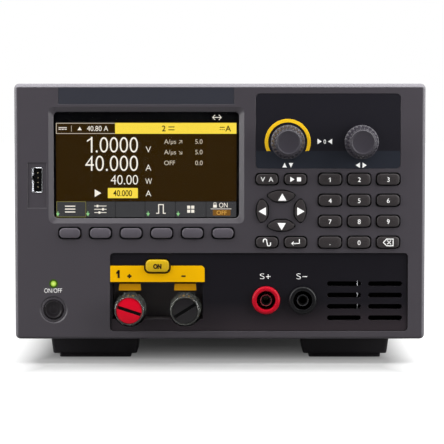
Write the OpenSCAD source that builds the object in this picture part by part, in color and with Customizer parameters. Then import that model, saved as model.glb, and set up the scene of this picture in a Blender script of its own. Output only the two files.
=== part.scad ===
// Bench dc electronic load: half rack wide, three units high, front towards -Y, standing on z = 0.

/* [Body] */
// Width across the front bezel, half of a 19 inch rack
body_w = 212.8; // [208:0.1:240]
// Height of the front bezel without the feet, three rack units
body_h = 132.6; // [129:0.1:150]
// Depth from the bezel's face to the outside of the rear wall
body_d = 350; // [330:1:420]
// Depth of the moulded front bezel
bezel_d = 26; // [24:0.5:36]
// Thickness of the bezel's front plate
plate_t = 3; // [2.6:0.1:3.4]
// Thickness of the bezel's side walls
wall_t = 3; // [2.4:0.1:3.4]
// Radius of the bezel's outer corners
corner_r = 2.5; // [2:0.1:5]
// Rounding of the bezel's front edge
edge_r = 1.5; // [0.6:0.1:1.8]
// Thickness of the cover's and the chassis's sheet metal
sheet_t = 1.2; // [0.8:0.1:1.6]
// Outer bend radius of the sheet metal
bend_r = 2; // [1.8:0.1:4]
// How far the cover and the chassis reach into the bezel
lap_d = 8; // [5:0.5:10]
// Thickness of the bezel's lip round the cover
lip_t = 1.5; // [1:0.1:2]

/* [Display] */
// Width of the display window's clear opening
display_w = 96; // [86:0.5:104]
// Height of the display window's clear opening
display_h = 55; // [50:0.5:58]
// Distance of the window's opening from the bezel's left side
display_side = 20.3; // [19:0.1:24]
// Width of the bevel round the window
bevel_w = 2.7; // [1.5:0.1:3.5]
// Depth of the bevel
bevel_d = 1.5; // [1:0.1:1.8]
// How far the window reaches under the bevel
window_lap = 1.6; // [1:0.1:2.4]
// Thickness of the lcd module
lcd_t = 5; // [3:0.1:5.6]
// Corner radius of the window's opening
window_r = 2.2; // [1:0.1:3]

/* [Keys] */
// Width of a keypad key
pad_key_w = 12.1; // [10:0.1:12.8]
// Height of a keypad key
pad_key_h = 6.2; // [5:0.1:8]
// Sideways pitch of the keypad
pad_pitch_x = 15.05; // [14.5:0.05:16]
// Upright pitch of the keypad
pad_pitch_h = 10.9; // [9.6:0.1:11.8]
// Width of a function key
fn_key_w = 11.6; // [10:0.1:12.4]
// Height of a function key
fn_key_h = 5.8; // [5:0.1:8]
// Sideways pitch of the function keys
fn_pitch_x = 14.8; // [14:0.1:16]
// Width of a soft key
soft_key_w = 11.4; // [9:0.1:13]
// Height of a soft key
soft_key_h = 5.7; // [4.6:0.1:7]
// Pitch of the soft keys
soft_pitch = 15.9; // [15.2:0.1:16.6]
// Corner radius of the keys
key_r = 1.9; // [0.8:0.1:2.2]
// Softened edge of the keys
key_edge = 0.5; // [0.2:0.05:0.8]
// How far the keys stand proud of the bezel
key_proud = 1.6; // [1.4:0.1:3]
// Travel of the keys
key_travel = 1.2; // [0.6:0.1:1.4]
// Width of the lips that keep a key behind the plate
key_lip = 1; // [0.5:0.1:1.1]
// Thickness of the lips that keep a key behind the plate
key_lip_t = 1.2; // [0.8:0.1:1.4]
// Length of the long side of the up and down arrow keys
arrow_w = 13.9; // [12:0.1:15]
// Length of the long side of the left and right arrow keys
arrow_h = 11.8; // [10:0.1:13]
// Breadth of the arrow keys
arrow_b = 6.1; // [5:0.1:6.6]
// Distance of the up and down arrow keys from the middle of the group
arrow_up = 7.6; // [7.2:0.1:8.4]
// Distance of the left and right arrow keys from the middle of the group
arrow_side = 9.85; // [9.4:0.05:10.2]
// Width of the output key
on_key_w = 12.3; // [10:0.1:14]
// Height of the output key
on_key_h = 6.6; // [5:0.1:8]

/* [Knobs] */
// Distance between the two knobs
knob_pitch = 38.1; // [30:0.1:42]
// Diameter of a knob at its skirt
knob_d = 18.6; // [15:0.1:22]
// Diameter of a knob at its front
knob_front_d = 15.6; // [13:0.1:18]
// Distance of a knob's front from the bezel's face
knob_proud = 13.5; // [11:0.1:18]
// Gap between a knob and the panel behind it
knob_gap = 1.2; // [1:0.1:2]
// Push travel of an encoder
knob_push = 0.6; // [0.3:0.1:0.8]
// Diameter of the encoder shafts
shaft_d = 6; // [5:0.1:6.4]
// Number of flutes round a knob
knob_flutes = 24; // [12:1:30]
// Width of the glossy panel behind the knobs
knob_panel_w = 74.7; // [70:0.1:80]
// Distance of the knob panel's top from the bezel's top
knob_panel_top = 5.2; // [4:0.1:7]

/* [Terminals] */
// Distance of the terminal panel from the bezel's left side
terminal_side = 49.3; // [46:0.1:54]
// Distance of the terminal panel from the bezel's right side
terminal_right = 8.7; // [7:0.1:12]
// Distance of the terminal panel from the bezel's lower edge
terminal_foot = 4.05; // [3.9:0.05:5]
// Height of the terminal panel
terminal_h = 40.8; // [39.5:0.1:41.6]
// Corner radius of the terminal panel
terminal_r = 2; // [1:0.1:3]
// How deep the terminal panel's face lies behind the bezel's face
terminal_sink = 0.8; // [0.5:0.1:1.2]
// Depth of the pocket for the input posts behind the bezel's face
pocket_d = 14; // [12:0.5:18]
// Wall of the pocket
pocket_wall = 1.4; // [1:0.1:1.6]
// Height of the pocket's floor
pocket_floor = 10.35; // [9:0.1:12]
// Height of the lower edge of the yellow bar
bar_foot = 29.8; // [29:0.1:31]
// Width of the yellow bar
bar_w = 49; // [47.5:0.1:52]
// Height of the yellow bar
bar_h = 8.4; // [6:0.1:9]
// Radius of the yellow bar's upper right corner
bar_r = 2; // [0.5:0.1:3]
// Distance between the two input posts
post_pitch = 28.8; // [26:0.1:29.4]
// Height of the input posts
post_foot = 15.6; // [15.2:0.1:17]
// Diameter of an input post's collar
collar_d = 17; // [14:0.1:17.4]
// How far the collars stand proud of the bezel's face
collar_proud = 9.5; // [7:0.1:12]
// Diameter of the coloured core in a collar
core_d = 13.3; // [10:0.1:13.6]
// Thickness of the coloured core
core_t = 3; // [2:0.1:4]
// Diameter of an input post's stud
stud_d = 6; // [5:0.1:7]
// Distance between the two sense jacks, three quarters of an inch
jack_pitch = 19.05; // [17:0.05:20]
// Height of the sense jacks
jack_foot = 20.2; // [18:0.1:24]
// Diameter of a sense jack's front ring
jack_d = 14.8; // [13:0.1:16]
// Diameter of a sense jack's socket
jack_socket_d = 9.85; // [9:0.05:10.4]
// Outer diameter of a sense jack's contact sleeve
sleeve_d = 6; // [5.6:0.1:6.6]
// Bore of a sense jack's contact sleeve
sleeve_bore_d = 4; // [3.6:0.1:4.4]
// Length of a ventilation slot
slot_w = 17.7; // [14:0.1:18.6]
// Height of a ventilation slot
slot_h = 2.6; // [1.8:0.1:3.4]
// Upright pitch of the ventilation slots
slot_pitch = 5.94; // [5:0.02:6.6]

/* [Power and USB] */
// Distance of the power button from the bezel's left side
power_side = 19.95; // [16:0.1:26]
// Height of the power button
power_foot = 15.3; // [13:0.1:18]
// Diameter of the power button
power_d = 10.6; // [9:0.1:12]
// Travel of the power button
power_travel = 2; // [1:0.1:2.2]
// Height of the power lamp
lamp_foot = 28.9; // [26:0.1:36]
// Diameter of the power lamp
lamp_d = 3; // [2:0.1:5]
// Distance of the USB socket from the bezel's left side
usb_side = 11.7; // [11:0.1:12]
// Width of the USB socket's shell
usb_w = 5.7; // [5.2:0.1:6]
// Height of the USB socket's shell
usb_h = 13.1; // [12.6:0.1:14]

/* [Feet] */
// Height of the bezel above the table
foot_h = 13.2; // [10:0.1:20]
// Width of a foot where it meets the chassis
foot_w = 46.4; // [36:0.1:56]
// Narrowing of a foot on each side
foot_taper = 0.8; // [0:0.1:3]
// Length of a foot
foot_l = 30; // [20:1:44]
// Distance of the feet from the middle
foot_x = 66.6; // [55:0.1:72]
// Distance of the front feet behind the bezel
foot_setback = 2; // [1:0.5:12]
// Distance of the rear feet from the rear wall
foot_rear = 14; // [6:1:40]
// Width of a foot's sole
sole_w = 38.2; // [24:0.1:40]
// How far a sole stands below its foot
sole_h = 2.3; // [1:0.1:4]

/* [Inside and rear] */
// Side of the square fan
fan_w = 80; // [70:1:92]
// Thickness of the fan
fan_t = 25; // [20:1:32]
// Distance between the fan's screws
fan_pitch = 71.5; // [66:0.1:72]
// Diameter of the fan's hub
fan_hub_d = 32; // [24:1:40]
// Number of fan blades
fan_blades = 7; // [5:1:9]
// Distance of the fan's middle from the instrument's middle
fan_x = 48; // [44:0.5:54]
// Length of the heatsink
sink_l = 190; // [120:1:205]
// Number of heatsink fins
sink_fins = 13; // [8:1:16]
// Thickness of the heatsink's fins
sink_fin_t = 2; // [1.2:0.1:3]
// Width of the main board
board_w = 92; // [80:1:96]
// Height of the standoffs under the main board
standoff_h = 8; // [4:0.5:12]
// Thickness of the circuit boards
pcb_t = 1.6; // [1:0.1:2]
// Number of vent slots in each side of the cover
side_vents = 12; // [4:1:14]
// Chord of a fan blade
blade_w = 26; // [18:1:30]
// Thickness of the mains inlet's flange
inlet_t = 3; // [2:0.1:5]
// Width of the mains inlet's flange
inlet_w = 50; // [47:0.5:54]
// Height of the mains inlet's flange
inlet_h = 24; // [22:0.5:28]
// Width of the mains inlet's body
inlet_body_w = 27.4; // [26.6:0.1:29]
// Height of the mains inlet's body
inlet_body_h = 20; // [18.4:0.1:21]
// Depth of the mains inlet's body
inlet_body_d = 24; // [20:0.5:30]
// Distance between the mains inlet's screws
inlet_pitch = 40; // [37:0.1:42]
// Distance of the mains inlet from the chassis's left side
inlet_side = 39.4; // [32:0.1:46]
// Width of the network port's shell
lan_w = 16; // [15:0.1:17]
// Height of the network port's shell
lan_h = 13.6; // [12.6:0.1:14.6]
// Width of the square USB port's shell
usb_b_w = 12; // [11.2:0.1:13]
// Height of the square USB port's shell
usb_b_h = 11; // [10.2:0.1:12]
// Depth of the rear ports' shells
port_d = 22; // [18:0.5:28]
// Width of a power transistor
gate_w = 16; // [14:0.1:20]
// Height of a power transistor
gate_h = 21; // [18:0.1:26]
// Thickness of a power transistor
gate_t = 5; // [4:0.1:6]
// Height of the power transistors above the board
gate_foot = 7; // [5:0.1:10]
// Diameter of the capacitors
cap_d = 22; // [18:0.5:26]
// Height of the capacitors
cap_h = 32; // [24:0.5:40]
// Distance between the capacitors
cap_pitch = 30; // [27:0.5:34]
// Side of the transformer across the instrument
coil_w = 42; // [36:0.5:46]
// Side of the transformer along the instrument
coil_l = 52; // [44:0.5:60]
// Height of the transformer
coil_h = 38; // [30:0.5:46]

/* [Fits] */
// Gap round a key in its hole
key_gap = 0.35; // [0.2:0.05:0.5]
// Gap between a key's lips and the plate in front of them
key_float = 0.2; // [0.1:0.05:0.3]
// Radial clearance of a shaft that turns or slides
run_gap = 0.05; // [0.03:0.01:0.1]
// Gap between fixed pieces that nest in one another
nest_gap = 0.15; // [0.05:0.05:0.25]

/* [Hidden] */
$fn = 48;
tiny = 0.01;
screw_r = 1.5;
screw_hole_r = 1.7;
screw_head_r = 2.75;
screw_head_h = 1.5;
overlay_t = 0.5;
switch_w = 6;
switch_h = 4.4;
encoder_w = 12.4;
board_rim = 4;
board_foot_rim = 5;
boss_drop = 6;
boss_side_rise = 8;
power_rim = 6;
power_side_rim = 10;
screw_bite = 4;
side_screw_front = 24;
side_screw_rear = 26;
side_screw_foot = 9;

// Overall depth, and where the bezel's face lies so that the whole is centred on y = 0
rear_proud = inlet_t + screw_head_h;
whole_d = knob_proud + body_d + rear_proud;
face_y = knob_proud - whole_d / 2;

// Depths behind the bezel's face
board_d = plate_t + 6;
switch_d = board_d - 1.4;
tub_front = bezel_d - lap_d + 0.3;

// Cross-section of the cover and the chassis
tub_foot = lip_t + nest_gap;
tub_w = body_w - 2 * tub_foot;
tub_h = body_h - 2 * tub_foot;
pan_w = tub_w - 2 * (sheet_t + nest_gap);
floor_h = tub_foot + sheet_t;

// Places on the front: x from the middle, heights from the bezel's lower edge
left_x = -body_w / 2;
right_x = body_w / 2;
display_x = left_x + display_side + display_w / 2;
frame_w = display_w + 2 * bevel_w;
frame_h = display_h + 2 * bevel_w;
terminal_top = terminal_foot + terminal_h;
frame_r = window_r + 0.5;
strip_top = body_h - edge_r - 0.4;
// The height that the terminal panel, the soft keys and the display leave free, shared out between them
spare_h = strip_top - terminal_top - soft_key_h - frame_h;
soft_mid = terminal_top + 0.382 * spare_h + soft_key_h / 2;
frame_foot = soft_mid + soft_key_h / 2 + 0.109 * spare_h;
display_mid = frame_foot + frame_h / 2;
frame_top = frame_foot + frame_h;
strip_foot = frame_top + 0.066 * spare_h;
lcd_top = frame_top + 0.56 * (body_h - wall_t - frame_top);
strip_x = display_x;
strip_w = frame_w - 10.7;

knob_panel_x0 = display_x + frame_w / 2 + 6.1;
keypad_low = terminal_top + 5.65;
keypad_top = keypad_low + 3 * pad_pitch_h;
fn_x = knob_panel_x0 + 5.7;
pad_x = knob_panel_x0 + 38.4;
arrow_x = fn_x + fn_pitch_x / 2;
arrow_mid = keypad_low + 1.5 * pad_pitch_h;
knob_panel_foot = keypad_top + 5.6;
knob_panel_h = body_h - knob_panel_top - knob_panel_foot;
knob_x = knob_panel_x0 + knob_panel_w / 2 - 1.85;
knob_mid = knob_panel_foot + 0.355 * knob_panel_h;
knob_xs = [knob_x - knob_pitch / 2, knob_x + knob_pitch / 2];

terminal_x0 = left_x + terminal_side;
terminal_x1 = right_x - terminal_right;
terminal_w = terminal_x1 - terminal_x0;
terminal_back = plate_t + 1.5;
bar_x = terminal_x0 + nest_gap + bar_w / 2;
bar_top = bar_foot + bar_h;
on_mid = bar_top;
post_xs = [bar_x - post_pitch / 2, bar_x + post_pitch / 2];
pocket_w = bar_w - 2;
pocket_r = collar_d / 2 + 0.7;
vent_x1 = terminal_x1 - 2.9;
vent_xs = [vent_x1 - 1.5 * slot_w - 3.65, vent_x1 - slot_w / 2];
jack_x1 = vent_xs[0] - slot_w / 2 - 12.7;
jack_xs = [jack_x1 - jack_pitch, jack_x1];
slot_low = jack_foot - 0.35 - 1.5 * slot_pitch;

power_x = left_x + power_side;
usb_x = left_x + usb_side;
usb_mid = display_mid - 7.6;

// The layers of an input post
washer_t = 1.5;
post_gap = 0.2;
stud_flange_t = 2;
washer_front = pocket_d - stud_flange_t - post_gap - washer_t;
collar_back = washer_front - post_gap;
core_front = -collar_proud + 0.3;
core_back = core_front + core_t;
stud_front = core_back + 0.6;

// The inside: heatsink in front of the fan, main board beside it
fan_mid = floor_h + fan_w / 2 + 8;
sink_w = fan_w - 6;
sink_h = fan_w + 4;
sink_d1 = body_d - sheet_t - fan_t - 12;
sink_d0 = sink_d1 - sink_l;
sink_x0 = fan_x - sink_w / 2;
board_gap = 7;
board_x1 = sink_x0 - board_gap;
board_x0 = board_x1 - board_w;
board_low = floor_h + standoff_h;
board_top = board_low + pcb_t;
board_d0 = bezel_d + 34;
board_d1 = body_d - sheet_t - 2;
cap_x = board_x0 + cap_d / 2 + 9;
cap_d0 = board_d0 + cap_d / 2 + 13;
coil_d0 = cap_d0 + 2 * cap_pitch + cap_d / 2 + 25;
chip_w = 18;
chip_x0 = cap_x + cap_d / 2 + 21;
inlet_x = -pan_w / 2 + inlet_side;
inlet_mid = board_top + 48;
lan_x = board_x1 - lan_w / 2 - 4;
usb_b_x = lan_x - lan_w / 2 - usb_b_w / 2 - 6;

// Key tables: name, x, height
pad_names = [["key_1", "key_2", "key_3"], ["key_4", "key_5", "key_6"],
             ["key_7", "key_8", "key_9"], ["key_point", "key_0", "key_back"]];
pad_keys = [for (row = [0:3]) for (col = [0:2])
            [pad_names[row][col], pad_x + col * pad_pitch_x, keypad_top - row * pad_pitch_h]];
fn_keys = [["key_meter", fn_x, keypad_top], ["key_list", fn_x + fn_pitch_x, keypad_top],
           ["key_scope", fn_x, keypad_low], ["key_enter", fn_x + fn_pitch_x, keypad_low]];
soft_keys = [for (i = [0:5]) [str("softkey_", i + 1), display_x + (i - 2.5) * soft_pitch, soft_mid]];
// Arrow table: name, x, height, turn, long side
arrow_keys = [["arrow_up", arrow_x, arrow_mid + arrow_up, 0, arrow_w],
              ["arrow_down", arrow_x, arrow_mid - arrow_up, 180, arrow_w],
              ["arrow_left", arrow_x - arrow_side, arrow_mid, 90, arrow_h],
              ["arrow_right", arrow_x + arrow_side, arrow_mid, 270, arrow_h]];

// Bosses that carry the front board: x, height
boss_r = 2.9;
boss_x = body_w / 2 - wall_t - boss_r - 1.5;
board_high = body_h - wall_t - 1.5;
bosses = [[-boss_x, board_high - boss_drop], [boss_x, board_high - boss_drop], [-boss_x, soft_mid],
          [boss_x, terminal_top + boss_side_rise],
          [(soft_keys[5][1] + fn_x) / 2 + 0.2, terminal_top + boss_r + 1.5]];

// Screws of the cover: depth, height
side_screws = [for (d = [bezel_d + side_screw_front, body_d / 2, body_d - side_screw_rear])
               [d, floor_h + side_screw_foot]];
flange_h = 18;

pad_node_names = [for (k = pad_keys) k[0]];

// Extrudes an outline drawn in x and height from depth d0 to depth d1 behind the bezel's face
module slab(d0, d1) {
    translate([0, face_y + d1, foot_h])
        rotate([90, 0, 0])
            linear_extrude(d1 - d0)
                children();
}

// A box between two x values, two depths and two heights
module block(x0, x1, d0, d1, h0, h1) {
    translate([x0, face_y + d0, foot_h + h0])
        cube([x1 - x0, d1 - d0, h1 - h0]);
}

// Turns a shape's z axis into depth, with its origin at x, height and depth
module inward(x, h, d) {
    translate([x, face_y + d, foot_h + h])
        rotate([-90, 0, 0])
            children();
}

// A round bar along the depth
module rod(x, h, d0, d1, r) {
    inward(x, h, d0)
        cylinder(h = d1 - d0, r = r);
}

// A rounded rectangle about a middle
module rounded(x, h, w, t, r) {
    translate([x, h]) {
        square([w - 2 * r, t], center = true);
        square([w, t - 2 * r], center = true);
        for (sx = [-1, 1], sy = [-1, 1])
            translate([sx * (w / 2 - r), sy * (t / 2 - r)])
                circle(r = r);
    }
}

// The outline of an arrow key: a lens with blunt ends, bulging outwards
module petal(x, h, turn, long, grow) {
    a = long / 2 + 0.5 + grow;
    out = arrow_b * 0.42 + grow;
    in = arrow_b * 0.58 + 0.3 + grow;
    r_out = (a * a + out * out) / (2 * out);
    r_in = (a * a + in * in) / (2 * in);
    base = -arrow_b / 2 + in - 0.3 - grow;
    translate([x, h])
        rotate([0, 0, turn])
            intersection() {
                translate([0, base + out - r_out])
                    circle(r = r_out, $fn = 72);
                translate([0, base - in + r_in])
                    circle(r = r_in, $fn = 72);
                square([long + 2 * grow, arrow_b + 2 * grow], center = true);
            }
}

// A key's cap with a softened front edge, from depth d1 forward
module rounded_cap(x, h, w, t, r, proud, d1) {
    hull() {
        slab(-proud, -proud + tiny)
            rounded(x, h, w - 2 * key_edge, t - 2 * key_edge, max(0.3, r - key_edge), $fn = 20);
        slab(-proud + key_edge, d1)
            rounded(x, h, w, t, r, $fn = 20);
    }
}

// The stem that presses a key's switch
module stem(x, h, d0, travel) {
    rod(x, h, d0, switch_d - travel - 0.2, 1.6);
}

module rounded_key(x, h, w, t, back) {
    lip_d = back + key_float;
    rounded_cap(x, h, w, t, key_r, key_proud, lip_d + tiny);
    slab(lip_d, lip_d + key_lip_t)
        square_at(x, h, w + 2 * key_lip, t - 1);
    stem(x, h, lip_d + key_lip_t - tiny, key_travel);
}

module square_at(x, h, w, t) {
    translate([x, h])
        square([w, t], center = true);
}

module pad_key(k) {
    color("#33302f")
        rounded_key(k[1], k[2], pad_key_w, pad_key_h, plate_t);
}

module fn_key(k) {
    color("#3c393d")
        rounded_key(k[1], k[2], fn_key_w, fn_key_h, plate_t);
}

module soft_key(k) {
    color("#56525a")
        rounded_key(k[1], k[2], soft_key_w, soft_key_h, plate_t);
}

module arrow_key(k) {
    lip_d = plate_t + key_float;
    color("#33302f") {
        slab(-key_proud, lip_d + tiny)
            petal(k[1], k[2], k[3], k[4], 0);
        slab(lip_d, lip_d + key_lip_t)
            translate([k[1], k[2]])
                rotate([0, 0, k[3]])
                    square([k[4] - 2.6, arrow_b + 0.6], center = true);
        stem(k[1], k[2], lip_d + key_lip_t - tiny, key_travel);
    }
}

module on_key() {
    color("#e8c31a")
        rounded_key(bar_x, on_mid, on_key_w, on_key_h, terminal_back);
}

module power_button() {
    r = power_d / 2;
    lip_d = plate_t + key_float;
    color("#403c42")
        difference() {
            union() {
                rod(power_x, power_foot, -1, lip_d + tiny, r);
                rod(power_x, power_foot, lip_d, lip_d + key_lip_t, r + 1);
                stem(power_x, power_foot, lip_d + key_lip_t - tiny, power_travel);
            }
            inward(power_x, power_foot, -1 - tiny)
                cylinder(h = 0.6, r1 = r - 1.1, r2 = r - 1.6);
        }
}

module knob(x) {
    front = knob_proud - knob_gap;
    r1 = knob_d / 2;
    r2 = knob_front_d / 2;
    lean = atan((r1 - r2) / front);
    color("#26252b")
        difference() {
            inward(x, knob_mid, -knob_proud)
                rotate_extrude()
                    polygon([[0, 0.6], [r2 - 2.2, 0.6], [r2 - 1.6, 0], [r2 - 0.7, 0], [r2, 0.7], [r1, front - 1.4],
                             [r1, front], [0, front]]);
            rod(x, knob_mid, -knob_proud + 2.4, 0, shaft_d / 2 + run_gap);
            for (i = [0:knob_flutes - 1])
                inward(x, knob_mid, -knob_proud)
                    rotate([0, 0, i * 360 / knob_flutes])
                        translate([r2 + 0.42, 0, 0])
                            rotate([0, lean, 0])
                                translate([0, 0, -2])
                                    cylinder(h = front - 0.2, r = 0.75, $fn = 24);
        }
}

module encoder_shaft(x) {
    color("#b9bbbf")
        rod(x, knob_mid, -knob_proud + 2.7, board_d - 0.5 - knob_push, shaft_d / 2);
}

// Holes for every key, grown by the gap round it
module key_holes() {
    for (k = pad_keys)
        rounded(k[1], k[2], pad_key_w + 2 * key_gap, pad_key_h + 2 * key_gap, key_r + key_gap);
    for (k = fn_keys)
        rounded(k[1], k[2], fn_key_w + 2 * key_gap, fn_key_h + 2 * key_gap, key_r + key_gap);
    for (k = soft_keys)
        rounded(k[1], k[2], soft_key_w + 2 * key_gap, soft_key_h + 2 * key_gap, key_r + key_gap);
    for (k = arrow_keys)
        petal(k[1], k[2], k[3], k[4], key_gap);
}

module bezel_outside() {
    hull() {
        for (a = [0:22.5:90])
            slab(edge_r * (1 - sin(a)), edge_r + tiny)
                rounded(0, body_h / 2, body_w - 2 * edge_r * (1 - cos(a)), body_h - 2 * edge_r * (1 - cos(a)),
                        corner_r - 0.6 * edge_r * (1 - cos(a)), $fn = 24);
        slab(edge_r, bezel_d)
            rounded(0, body_h / 2, body_w, body_h, corner_r, $fn = 24);
    }
}

module front_bezel() {
    color("#48444a")
        difference() {
            union() {
                difference() {
                    bezel_outside();
                    slab(plate_t, bezel_d + 1)
                        rounded(0, body_h / 2, body_w - 2 * wall_t, body_h - 2 * wall_t, 1);
                    slab(bezel_d - lap_d, bezel_d + 1)
                        rounded(0, body_h / 2, body_w - 2 * lip_t, body_h - 2 * lip_t, bend_r + nest_gap);
                }
                for (b = bosses)
                    rod(b[0], b[1], plate_t - tiny, board_d, boss_r);
            }
            for (b = bosses)
                rod(b[0], b[1], board_d - 5, board_d + 1, screw_hole_r);
            hull() {
                slab(-tiny, 0)
                    rounded(display_x, display_mid, frame_w, frame_h, frame_r, $fn = 32);
                slab(bevel_d, bevel_d + tiny)
                    rounded(display_x, display_mid, display_w, display_h, window_r, $fn = 32);
            }
            slab(bevel_d, plate_t + 1)
                square_at(display_x, display_mid, display_w + 2 * window_lap, display_h + 2 * window_lap);
            slab(-1, plate_t + 1)
                key_holes();
            slab(-1, overlay_t)
                overlay_outlines(nest_gap);
            for (x = knob_xs)
                rod(x, knob_mid, -1, plate_t + 1, shaft_d / 2 + 1);
            slab(-1, plate_t + 1)
                rounded((terminal_x0 + terminal_x1) / 2, terminal_foot + terminal_h / 2, terminal_w, terminal_h,
                        terminal_r);
            slab(-1, 0.4)
                square_at(usb_x, usb_mid - 2.9, 9.8, usb_h + 10.5);
            slab(-1, plate_t + 1)
                square_at(usb_x, usb_mid, usb_w + 2 * nest_gap, usb_h + 2 * nest_gap);
            rod(power_x, power_foot, -1, plate_t + 1, power_d / 2 + key_gap);
            inward(power_x, power_foot, -tiny)
                cylinder(h = 1, r1 = power_d / 2 + 1.9, r2 = power_d / 2 + key_gap);
            rod(power_x, lamp_foot, -1, plate_t + 1, lamp_d / 2 + nest_gap);
        }
}

// The two glossy overlays, which lie flush in the bezel's face
module overlay_outlines(grow) {
    rounded(knob_panel_x0 + knob_panel_w / 2, knob_panel_foot + knob_panel_h / 2, knob_panel_w + 2 * grow,
            knob_panel_h + 2 * grow, 2.4);
    square_at(strip_x, (strip_foot + strip_top) / 2, strip_w + 2 * grow, strip_top - strip_foot);
}

module front_overlays() {
    color("#1f1f27")
        difference() {
            slab(0, overlay_t)
                overlay_outlines(0);
            for (x = knob_xs)
                rod(x, knob_mid, -1, overlay_t + 1, shaft_d / 2 + 1);
        }
}

module display_window() {
    color("#101014")
        slab(bevel_d, plate_t)
            square_at(display_x, display_mid, display_w + 2 * (window_lap - nest_gap),
                      display_h + 2 * (window_lap - nest_gap));
}

module lcd_module() {
    low = frame_foot + 0.4;
    color("#8d9196")
        block(display_x - display_w / 2 - 4.7, display_x + display_w / 2 + 4.7, plate_t, plate_t + lcd_t, low,
              lcd_top);
}

module encoder_body(x) {
    half = encoder_w / 2;
    block(x - half, x + half, plate_t + 0.4, board_d + tiny, knob_mid - half, knob_mid + half);
    rod(x, knob_mid, overlay_t, plate_t + 0.5, shaft_d / 2 + 0.7);
}

module front_board() {
    switches = concat(pad_keys, fn_keys, soft_keys, arrow_keys, [["on_key", bar_x, on_mid]],
                      [["power_button", power_x, power_foot]]);
    color("#1f5a36")
        difference() {
            union() {
                slab(board_d, board_d + pcb_t) {
                    translate([-boss_x - board_rim, on_mid - board_foot_rim])
                        square([2 * (boss_x + board_rim), board_high - on_mid + board_foot_rim]);
                    translate([-boss_x - board_rim, power_foot - power_rim])
                        square([power_x + power_side_rim + boss_x + board_rim, on_mid - power_foot + power_rim]);
                }
                for (s = switches)
                    block(s[1] - switch_w / 2, s[1] + switch_w / 2, switch_d, board_d + tiny, s[2] - switch_h / 2,
                          s[2] + switch_h / 2);
                for (x = knob_xs)
                    encoder_body(x);
            }
            for (x = knob_xs)
                rod(x, knob_mid, -1, board_d - 0.3, shaft_d / 2 + run_gap);
            for (b = bosses)
                rod(b[0], b[1], board_d - 1, board_d + pcb_t + 1, screw_hole_r);
            slab(board_d - 2, board_d + pcb_t + 1)
                square_at(usb_x, usb_mid, usb_w + 2 * nest_gap, usb_h + 2 * nest_gap);
        }
}

module power_lamp() {
    color("#b4e84a") {
        inward(power_x, lamp_foot, -0.4)
            rotate_extrude()
                polygon([[0, 0], [lamp_d / 2 - 0.4, 0], [lamp_d / 2, 0.4], [lamp_d / 2, board_d + 0.4],
                         [0, board_d + 0.4]]);
        rod(power_x, lamp_foot, plate_t, plate_t + 1, lamp_d / 2 + 0.8);
    }
}

module usb_socket() {
    back = board_d + pcb_t + 3;
    color("#c9cbd0")
        difference() {
            slab(0.2, back)
                square_at(usb_x, usb_mid, usb_w, usb_h);
            slab(0, back - 1)
                square_at(usb_x, usb_mid, usb_w - 0.8, usb_h - 0.8);
        }
    color("#141416")
        slab(2, back - 1)
            translate([usb_x - usb_w / 2 + 0.9, usb_mid - usb_h / 2 + 1])
                square([1.84, usb_h - 2]);
}

// The pocket's opening: a box with a scoop under each post
module pocket_outline(grow) {
    w = pocket_w + 2 * grow;
    translate([bar_x - w / 2, pocket_floor - grow])
        square([w, bar_foot - pocket_floor + 2 * grow]);
    for (x = post_xs)
        translate([x, post_foot])
            circle(r = pocket_r + grow);
}

// The yellow tongue above a post, wider at its foot
module tongue_outline(x, grow) {
    translate([x, bar_foot])
        polygon([[-5.2 - grow, 2 + grow], [5.2 + grow, 2 + grow], [5.8 + grow, -4.6], [-5.8 - grow, -4.6]]);
}

module terminal_panel() {
    mid_x = (terminal_x0 + terminal_x1) / 2;
    mid_h = terminal_foot + terminal_h / 2;
    color("#1b1a1e")
        difference() {
            union() {
                slab(terminal_sink, terminal_back)
                    rounded(mid_x, mid_h, terminal_w - 2 * nest_gap, terminal_h - 2 * nest_gap, terminal_r - nest_gap);
                slab(plate_t, terminal_back)
                    rounded(mid_x, mid_h, terminal_w + 1.4, terminal_h + 1.4, terminal_r);
                slab(plate_t + 0.5, pocket_d + 2)
                    pocket_outline(pocket_wall);
            }
            slab(-1, pocket_d)
                pocket_outline(0);
            for (x = post_xs) {
                rod(x, post_foot, pocket_d - 1, pocket_d + 3, stud_d / 2 + nest_gap);
                slab(1.8 - nest_gap, 3 + nest_gap)
                    tongue_outline(x, nest_gap);
            }
            slab(-1, terminal_back + 1)
                rounded(bar_x, on_mid, on_key_w + 2 * key_gap, on_key_h + 2 * key_gap, key_r + key_gap);
            for (x = jack_xs)
                rod(x, jack_foot, -1, terminal_back + 1, jack_socket_d / 2 + 1 + nest_gap);
            for (x = vent_xs, row = [0:3])
                slab(-1, terminal_back + 1)
                    rounded(x, slot_low + row * slot_pitch, slot_w, slot_h, slot_h / 2 - tiny);
        }
}

// The yellow bar, with its upper right corner rounded
module bar_outline() {
    mid_h = bar_foot + bar_h / 2;
    rounded(bar_x, mid_h, bar_w, bar_h, bar_r);
    square_at(bar_x - bar_r / 2, mid_h, bar_w - bar_r, bar_h);
    square_at(bar_x, mid_h - bar_r / 2, bar_w, bar_h - bar_r);
}

module terminal_label() {
    color("#fdba00") {
        difference() {
            slab(0, terminal_sink)
                bar_outline();
            slab(-1, terminal_sink + 1)
                rounded(bar_x, on_mid, on_key_w + 2 * key_gap, on_key_h + 2 * key_gap, key_r + key_gap);
        }
        for (x = post_xs)
            slab(1.8, 3)
                tongue_outline(x, 0);
    }
}

module terminal_metal() {
    color("#cdb98a") {
        for (x = post_xs) {
            rod(x, post_foot, stud_front, pocket_d + 14, stud_d / 2);
            rod(x, post_foot, pocket_d - stud_flange_t, pocket_d, stud_d / 2 + 3.6);
        }
        for (x = jack_xs)
            difference() {
                rod(x, jack_foot, 0.2, 26, sleeve_d / 2);
                rod(x, jack_foot, 0, 20, sleeve_bore_d / 2);
            }
    }
}

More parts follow.
